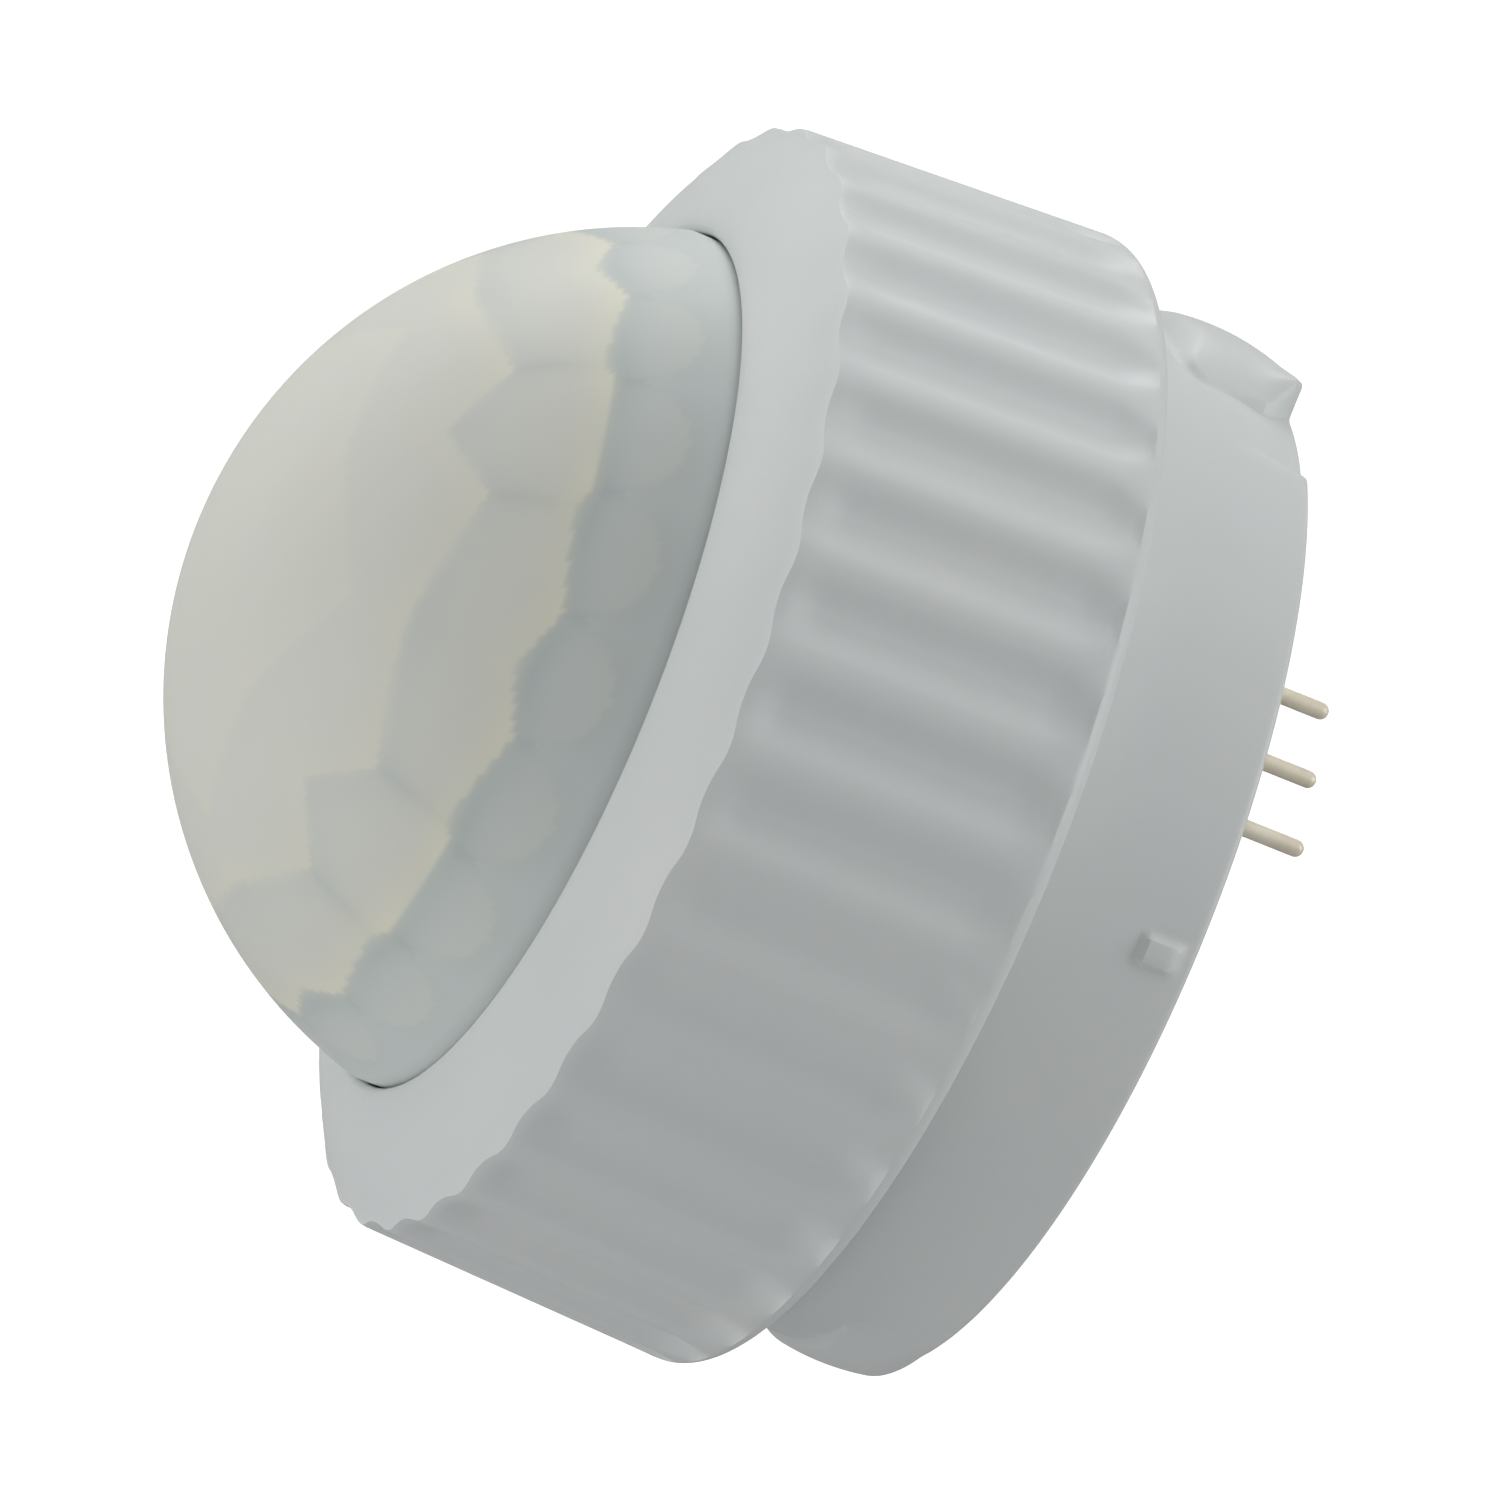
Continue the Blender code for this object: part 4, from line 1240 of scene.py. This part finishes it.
@dataclass
class LensDome:
    """The milky dome with its facets moulded inside, and the flange that the ring holds.

    Attributes:
        finish: slot and material of the piece.
        segments: steps of the full turn.
        rim_radius: radius where the dome leaves the ring.
        rim_rise: height of that place above the ring's lip.
        wall: wall between the facets.
        flange_height: height of the flange.
        polar_step: step of the dome's rows in degrees.
        flat_step: step of the corners on the flange and the plain walls.
        edge: rounding of the flange.
        skirt: how far the facets run down under the rim.
        inner_slack: how near to the inner sphere its corners lie.
    """

    finish: Finish
    segments: int = 500
    rim_radius: float = 28.16 * MM
    rim_rise: float = 0.55 * MM
    wall: float = 1.2 * MM
    flange_height: float = 1.4 * MM
    polar_step: float = 0.66
    flat_step: float = 1.5 * MM
    edge: float = 0.2 * MM
    skirt: float = 1.5 * MM
    inner_slack: float = 0.04 * MM

    def __post_init__(self) -> None:
        """Reads the lens's size from its CAD node."""
        low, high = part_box("lens_dome")
        self.flange_radius, self.flange_low, self.apex = high.x, low.z, high.z
        self.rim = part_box("fluted_ring")[1].z + self.rim_rise
        rise = self.apex - self.rim
        self.sphere = (self.rim_radius ** 2 + rise ** 2) / (2 * rise)
        self.centre = self.apex - self.sphere
        self.inner = self.sphere - self.wall
        self.bore = self.rim_radius - self.wall
        self.pattern = FacetPattern(self.sphere)

    def outline(self) -> Outline:
        """The lens's section from the apex outside to the apex inside.

        Returns:
            The open section.
        """
        made = Outline()
        rim_polar = math.degrees(math.acos((self.rim - self.centre) / self.sphere))
        steps = round(rim_polar / self.polar_step)
        made.arc((0.0, self.centre), self.sphere, 90, 90 - rim_polar, steps)
        flange_top = self.flange_low + self.flange_height
        made.line(self.rim_radius, flange_top + self.edge, 0.6 * MM)
        made.at(self.rim_radius + self.edge, flange_top)
        made.line(self.flange_radius - self.edge, flange_top, self.flat_step)
        made.at(self.flange_radius, flange_top - self.edge)
        made.at(self.flange_radius, self.flange_low + self.edge)
        made.at(self.flange_radius - self.edge, self.flange_low)
        made.line(self.bore + self.edge, self.flange_low, self.flat_step)
        made.at(self.bore, self.flange_low + self.edge)
        inner_polar = math.asin(self.bore / self.inner)
        start = self.centre + self.inner * math.cos(inner_polar)
        made.line(self.bore, start - 0.5 * MM, 1.0 * MM)
        made.arc((0.0, self.centre), self.inner, 90 - math.degrees(inner_polar), 90, steps // 2)
        made.points[0] = (0.0, self.apex)
        made.points[-1] = (0.0, self.centre + self.inner)
        return made

    def build(self) -> None:
        """Turns the lens, moulds the facets inside and writes their pale blue, painted shade and
        painted light on it as attributes.
        """
        obj = turned("lens_cover", self.outline(), self.segments, closed=False)
        points = read_points(obj)
        away = points - np.array((0.0, 0.0, self.centre))
        length = np.linalg.norm(away, axis=1)
        rays = away / length[:, None]
        # cool is the pale blue; tone and light are the facets' painted shade and painted light.
        cool, tone, light, height = self.pattern.look(rays)
        inside = np.abs(length - self.inner) < self.inner_slack
        inside &= points[:, 2] > self.rim - self.skirt
        points[inside] -= rays[inside] * (height[inside] * self.pattern.pillow)[:, None]
        write_points(obj, points)
        names = MilkyLens()
        looks = {names.cool_name: cool, names.tone_name: tone, names.glow_name: light}
        for name, values in looks.items():
            layer = obj.data.attributes.new(name, "FLOAT", "POINT")
            layer.data.foreach_set("value", values.astype(np.float32))
        settle(obj, self.finish, "lens", "lens_dome")


# ------------------------------------------------------------------ base housing
@dataclass(frozen=True)
class Lug:
    """A bayonet lug that runs off the band's back edge, domed from back to front.

    Attributes:
        middle: clockwise angle of its middle in degrees.
        half_turn: half of its length in degrees.
        height: how far its crown stands out.
        front: height of its front end above the back face.
        crown: height of its crown.
        fall: how fast the relief falls away from the crown, as the span to nothing.
        corner: radius of its front corners, seen from outside.
        front_wall: width of its front wall.
        side_wall: width of its side walls at the back edge.
        scoop: extra width of the side walls further forward.
        hook: how much higher its back corner towards the key stands.
        hook_turn: length of that corner in degrees.
        hook_reach: how far forward that corner reaches.
        lean: how far its ends lean in at the back edge.
        lean_share: share of the lug's height over which they do.
    """

    middle: float
    half_turn: float
    height: float
    front: float
    crown: float
    fall: float
    corner: float
    front_wall: float
    side_wall: float
    scoop: float = 0.0
    hook: float = 0.0
    hook_turn: float = 14.0
    hook_reach: float = 3.0 * MM
    lean: float = 2.6 * MM
    lean_share: float = 0.4

    def relief(self, angle: np.ndarray, height: np.ndarray, radius: float) -> np.ndarray:
        """How far the lug stands out at given places.

        Args:
            angle: clockwise angle in degrees.
            height: height in metres.
            radius: radius of the band.

        Returns:
            The relief in metres.
        """
        turn = turn_between(angle, self.middle)
        lean = self.lean * np.clip(1.0 - height / (self.lean_share * self.front), 0, 1) ** 2
        along = np.abs(np.radians(turn)) * radius + lean
        half_long = math.radians(self.half_turn) * radius
        x = np.clip((along - half_long) / self.corner + 1.0, 0, 1)
        ahead = self.front - self.corner * (1.0 - np.sqrt(1.0 - x * x)) - height
        width = self.side_wall + self.scoop * ramp(height / (0.5 * self.front))
        wall = np.clip(np.minimum(ahead / self.front_wall, (half_long - along) / width), 0, 1)
        dome = 1.0 - ((height - self.crown) / self.fall) ** 2
        rise = self.hook * ramp(1.0 + (turn - self.half_turn) / self.hook_turn)
        rise *= 1.0 - ramp(height / self.hook_reach)
        return (self.height * np.clip(dome, 0, 1) + rise) * (1.0 - (1.0 - wall) ** 2)


@dataclass(frozen=True)
class Key:
    """The small key on the band between the lugs.

    Attributes:
        middle: clockwise angle of its middle in degrees.
        half_wide: half of its width.
        height: how far it stands out.
        back: height of its back end.
        front: height of its front end.
        flank: width of its sloped sides.
    """

    middle: float = 94.7
    half_wide: float = 1.15 * MM
    height: float = 0.5 * MM
    back: float = 0.7 * MM
    front: float = 3.9 * MM
    flank: float = 0.55 * MM

    def relief(self, angle: np.ndarray, height: np.ndarray, radius: float) -> np.ndarray:
        """How far the key stands out at given places.

        Args:
            angle: clockwise angle in degrees.
            height: height in metres.
            radius: radius of the band.

        Returns:
            The relief in metres.
        """
        along = np.abs(np.radians(turn_between(angle, self.middle))) * radius
        near = np.minimum(self.half_wide - along, self.front - height)
        near = np.minimum(near, (height - self.back) / 2)
        return self.height * ramp(near / self.flank)


@dataclass(frozen=True)
class Notch:
    """The shallow relief in the band beside the first lug.

    Attributes:
        middle: clockwise angle of its middle in degrees.
        half_turn: half of its length in degrees.
        depth: how deep it is at the back edge.
        reach: how far forward it runs out.
        soft: softness of its ends in degrees.
    """

    middle: float = 25.0
    half_turn: float = 7.5
    depth: float = 0.7 * MM
    reach: float = 6.0 * MM
    soft: float = 3.0

    def relief(self, angle: np.ndarray, height: np.ndarray) -> np.ndarray:
        """How deep the notch is at given places."""
        past = np.abs(turn_between(angle, self.middle)) - self.half_turn + self.soft / 2
        return self.depth * (1.0 - ramp(past / self.soft)) * (1.0 - ramp(height / self.reach))


@dataclass
class BaseHousing:
    """The round base: band, bayonet lugs, key, neck with the quick thread and inner ledge.

    Attributes:
        finish: slot and material of the piece.
        segments: steps of the full turn.
        wall: wall of the band and the neck.
        edge_round: rounding of the band's back edge.
        soft: rounding of its other edges.
        lug_zone: height of the band's part with fine rows for the lugs and the key.
        lug_row: height of the corner rows there.
        band_row: height of the corner rows on the rest of the band.
        thread_row: height of the corner rows on the thread.
        band_height: height of the band, which runs up inside the ring.
        neck_step: band radius less neck radius.
        ledge: height of the ledge's top.
        ledge_height: height of the ledge.
        ledge_width: width of the ledge.
        ridge_tip: thread ridge's tip radius.
        thread_height: middle of the thread at its low end.
        lugs: the bayonet lugs.
        key: the small key between them.
        notch: the relief beside the first lug.
    """

    finish: Finish
    segments: int = 720
    wall: float = 2.2 * MM
    edge_round: float = 0.4 * MM
    soft: float = 0.2 * MM
    lug_zone: float = 9.2 * MM
    lug_row: float = 0.3 * MM
    band_row: float = 0.8 * MM
    thread_row: float = 0.36 * MM
    band_height: float = 15.5 * MM
    neck_step: float = 2.2 * MM
    ledge: float = 25.4 * MM
    ledge_height: float = 1.0 * MM
    ledge_width: float = 1.2 * MM
    ridge_tip: float = 33.0 * MM
    thread_height: float = 19.5 * MM
    lugs: tuple[Lug, ...] = (
        Lug(middle=-5.0, half_turn=27.0, height=1.5 * MM, front=8.4 * MM, crown=4.3 * MM,
            fall=6.4 * MM, corner=3.0 * MM, front_wall=2.2 * MM, side_wall=0.4 * MM,
            scoop=5.5 * MM, hook=0.9 * MM),
        Lug(middle=189.0, half_turn=33.0, height=0.75 * MM, front=5.6 * MM, crown=2.7 * MM,
            fall=4.6 * MM, corner=1.2 * MM, front_wall=0.5 * MM, side_wall=9.0 * MM),
    )
    key: Key = Key()
    notch: Notch = Notch()

    def __post_init__(self) -> None:
        """Reads the base's size from its CAD node."""
        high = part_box("base_shell")[1]
        self.radius, self.top = high.y, high.z
        self.neck = self.radius - self.neck_step
        self.bore = self.radius - self.wall
        self.neck_bore = self.neck - self.wall

    def outline(self) -> Outline:
        """The base's section, from the band's top down the outside and up the inside.

        Returns:
            The closed section.
        """
        ledge_low, ledge_bore = self.ledge - self.ledge_height, self.neck_bore - self.ledge_width
        made = Outline().at(self.radius, self.band_height - self.soft)
        made.line(self.radius, self.lug_zone, self.band_row)
        made.line(self.radius, self.edge_round, self.lug_row)
        made.points.pop()
        made.arc((self.radius - self.edge_round, self.edge_round), self.edge_round, 0, -90, 5)
        made.at(self.bore + self.soft, 0.0).at(self.bore, self.soft)
        inside_top = self.band_height - self.wall
        made.line(self.bore, inside_top, 4.0 * MM)
        made.line(self.neck_bore, inside_top, 3.0 * MM)
        made.line(self.neck_bore, ledge_low, 6.0 * MM).at(ledge_bore, ledge_low)
        made.at(ledge_bore, self.ledge).at(self.neck_bore, self.ledge)
        made.line(self.neck_bore, self.top, 6.0 * MM)
        made.at(self.neck - self.soft, self.top).at(self.neck, self.top - self.soft)
        made.line(self.neck, self.band_height, self.thread_row)
        made.at(self.radius - self.soft, self.band_height)
        return made

    def band_relief(self, angle: np.ndarray, height: np.ndarray) -> np.ndarray:
        """How far the lugs and the key stand out of the band, less the notch beside them.

        Args:
            angle: clockwise angle in degrees.
            height: height in metres.

        Returns:
            The relief in metres.
        """
        relief = np.zeros_like(height)
        for bump in (*self.lugs, self.key):
            relief = np.maximum(relief, bump.relief(angle, height, self.radius))
        plain = relief < 0.1 * self.notch.depth
        return relief - self.notch.relief(angle, height) * plain

    def build(self) -> None:
        """Turns the base, raises the lugs, the key and the thread, and sinks the notch."""
        obj = turned("base_housing", self.outline(), self.segments, closed=True)
        cage = Cage(obj)
        radius, height = cage.radius.copy(), cage.height.copy()
        band = (radius > self.bore + 2 * self.soft) & (height < self.band_height - 1.0 * MM)
        relief = self.band_relief(cage.angle, height)
        neck = (np.abs(radius - self.neck) < TOUCH) & (height > self.band_height + TOUCH)
        neck &= height < self.top - 1.5 * self.soft
        ridge = QuickThread(self.thread_height).relief(cage.angle, height)
        cage.radius += np.where(band, relief, 0.0)
        cage.radius += np.where(neck, ridge * (self.ridge_tip - self.neck), 0.0)
        cage.write()
        settle(obj, self.finish, "base", "base_shell")


# ------------------------------------------------------------------ contact pins
@dataclass
class ContactPins:
    """The three drawn contact pins with rounded tips.

    Attributes:
        finish: slot and material of the piece.
        count: number of pins.
        segments: steps of the full turn.
        tip: length of the rounded tip.
        tip_steps: steps of the rounding.
        soft: bevel of the inner end.
    """

    finish: Finish
    count: int = 3
    segments: int = 40
    tip: float = 0.55 * MM
    tip_steps: int = 8
    soft: float = 0.1 * MM

    def build(self) -> None:
        """Turns one pin and puts a copy of it in each CAD pin's place."""
        low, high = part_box("contact_pin_1")
        radius = (high.x - low.x) / 2
        made = Outline().at(0.0, high.z)
        made.at(radius - self.soft, high.z).at(radius, high.z - self.soft)
        made.line(radius, low.z + self.tip, 2.0 * MM)
        for i in range(1, self.tip_steps + 1):
            turn = math.pi / 2 * i / self.tip_steps
            made.at(radius * math.cos(turn), low.z + self.tip * (1 - math.sin(turn)))
        made.points[-1] = (0.0, low.z)
        first = turned("contact_1", made, self.segments, closed=False)
        pins = [first]
        for i in range(1, self.count):
            copy = first.copy()
            copy.data = first.data.copy()
            copy.name = copy.data.name = f"contact_{i + 1}"
            link(copy)
            pins.append(copy)
        for i, pin in enumerate(pins):
            node = f"contact_pin_{i + 1}"
            corner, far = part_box(node)
            move = (corner + far) / 2
            make_active(pin)
            pin.location = (move.x, move.y, 0.0)
            bpy.ops.object.transform_apply(location=True, rotation=False, scale=False)
            settle(pin, self.finish, "base", node)


# ------------------------------------------------------------------ inner parts
@dataclass
class CarriedParts:
    """The CAD nodes that keep their shape and get their finish here.

    Attributes:
        library: materials by slot.
    """

    library: dict[Slot, bpy.types.Material]

    def slot_of(self, node: str) -> Slot | None:
        """The slot that the record gives a node, by its imported material.

        Args:
            node: name of the CAD node.

        Returns:
            The slot, or None when the record gives none.
        """
        for held in frame["nodes"][node].material_slots:
            for slot in Slot:
                if held.material and held.material.name.startswith(slot.value):
                    return slot
        return None

    def build(self) -> None:
        """Dresses each CAD node that still shows."""
        for node, obj in frame["nodes"].items():
            slot = self.slot_of(node)
            if slot is None:
                log.warning("%s has no known slot", node)
                continue
            for held in obj.material_slots:
                held.material = self.library[slot]
            log.info("%s keeps its CAD shape in %s", node, slot.value)


# ------------------------------------------------------------------ studio
@dataclass(frozen=True)
class SoftLight:
    """A large soft area light, placed from where the camera stands.

    Attributes:
        name: name of the light.
        right: direction towards the picture's right.
        up: direction towards the picture's top.
        near: direction towards the camera.
        distance: distance from the object.
        size: side of the light.
        power: power in watts.
        colour: colour of the light.
    """

    name: str
    right: float
    up: float
    near: float
    distance: float
    size: float
    power: float
    colour: Colour = (1.0, 1.0, 1.0)


LIGHTS = (
    SoftLight("left_light", -1.0, 0.0, 0.3, 0.9, 0.6, 2.1),
    SoftLight("upper_left_light", -0.7, 0.7, 0.3, 0.9, 0.6, 1.0),
    SoftLight("top_light", 0.45, 0.85, 0.3, 0.9, 0.6, 1.15),
    SoftLight("right_light", 1.0, 0.0, 0.3, 0.9, 0.6, 3.15),
    SoftLight("lower_left_light", -0.7, -0.7, 0.3, 0.9, 0.6, 1.5),
    SoftLight("back_top_light", 0.0, 1.0, -0.5, 0.9, 0.6, 3.1),
    SoftLight("back_left_light", -0.7, 0.7, -0.5, 0.9, 0.6, 0.8),
)


@dataclass
class Studio:
    """Camera, soft lights and a plain pale floor that sweeps up into a wall.

    Attributes:
        elevation: camera above the object's own horizon in degrees.
        roll: how far the object's axis leans from the picture's upright, in degrees.
        distance: camera to object.
        lens: focal length in millimetres.
        aim_height: height of the ring's front plane.
        aim_right: how far the aim lies to the picture's right of it.
        aim_down: how far the aim lies below it.
        floor_drop: floor below the object.
        floor_radius: radius of the floor and its wall.
        sweep: radius of the curve between them.
        wall_top: height of the wall.
        fill: brightness of the surroundings.
        fill_colour: colour of the surroundings.
        glow: brightness of the floor and its wall.
    """

    elevation: float = 16.195
    roll: float = -68.308
    distance: float = 1.25
    lens: float = 484.9
    aim_height: float = 33.3 * MM
    aim_right: float = 10.39 * MM
    aim_down: float = 4.52 * MM
    floor_drop: float = 1.7
    floor_radius: float = 3.6
    sweep: float = 1.2
    wall_top: float = 4.0
    fill: float = 0.27
    fill_colour: Colour = (0.98, 0.99, 1.0)
    glow: float = 1.05

    def make_camera(self) -> None:
        """Places the camera and makes it the scene's."""
        tilt = math.radians(self.elevation)
        back = Vector((0.0, -math.cos(tilt), math.sin(tilt)))
        turn = back.to_track_quat("Z", "Y") @ Quaternion((0, 0, 1), math.radians(self.roll))
        self.right = turn @ Vector((1, 0, 0))
        self.up = turn @ Vector((0, 1, 0))
        self.near = back
        self.aim = Vector((0, 0, self.aim_height)) + self.right * self.aim_right
        self.aim -= self.up * self.aim_down
        data = bpy.data.cameras.new("studio_camera")
        data.lens = self.lens
        data.sensor_width = 36.0
        data.clip_start, data.clip_end = 0.05, 20.0
        camera = bpy.data.objects.new("studio_camera", data)
        camera.rotation_mode = "QUATERNION"
        camera.rotation_quaternion = turn
        camera.location = self.aim + back * self.distance
        link(camera)
        bpy.context.scene.camera = camera

    def make_lights(self) -> None:
        """Places the soft lights and the even fill."""
        for light in LIGHTS:
            data = bpy.data.lights.new(light.name, "AREA")
            data.shape, data.size = "SQUARE", light.size
            data.energy, data.color = light.power, light.colour
            obj = bpy.data.objects.new(light.name, data)
            way = self.right * light.right + self.up * light.up + self.near * light.near
            way.normalize()
            obj.location = self.aim + way * light.distance
            obj.rotation_mode = "QUATERNION"
            obj.rotation_quaternion = way.to_track_quat("Z", "Y")
            link(obj)
        world = bpy.data.worlds.new("studio_fill")
        world.use_nodes = True
        sky = world.node_tree.nodes["Background"]
        sky.inputs["Color"].default_value = (*self.fill_colour, 1.0)
        sky.inputs["Strength"].default_value = self.fill
        bpy.context.scene.world = world

    def make_floor(self) -> None:
        """Makes the pale floor, which lights nothing but the picture's background."""
        bend = self.floor_radius - self.sweep
        made = Outline().at(0.0, -self.floor_drop).at(bend, -self.floor_drop)
        made.arc((bend, self.sweep - self.floor_drop), self.sweep, -81, 0, 9)
        made.at(self.floor_radius, self.wall_top).at(0.0, self.wall_top)
        floor = turned("studio_floor", made, 96, closed=False)
        floor.data.flip_normals()
        recipe = Recipe("pale_floor")
        tone = recipe.between(recipe.noise(2.0), NOISE_LOW, NOISE_HIGH)
        recipe.set(Base_Color=recipe.blend(tone, (0.92, 0.92, 0.92), (0.9, 0.9, 0.9)))
        recipe.set(Roughness=0.9, Emission_Color=(1, 1, 1, 1), Emission_Strength=self.glow)
        floor.data.materials.append(recipe.material)
        smooth(floor)
        floor.visible_diffuse = floor.visible_glossy = False
        floor.visible_shadow = False

    def build(self) -> None:
        """Makes the whole studio."""
        self.make_camera()
        self.make_lights()
        self.make_floor()
        view = bpy.context.scene.view_settings
        view.view_transform, view.look = "Standard", "None"


def main() -> None:
    """Builds the studio and the object's pieces."""
    logging.basicConfig(level=logging.INFO, format="%(name)s: %(message)s")
    library = finish_library()
    Studio().build()
    CarriedParts(library).build()
    BaseHousing((Slot.SHELL, library[Slot.SHELL])).build()
    ContactPins((Slot.PINS, library[Slot.PINS])).build()
    LensDome((Slot.LENS, library[Slot.LENS])).build()
    ScrewRing((Slot.SHELL, library[Slot.SHELL])).build()


if __name__ == "__main__":
    main()
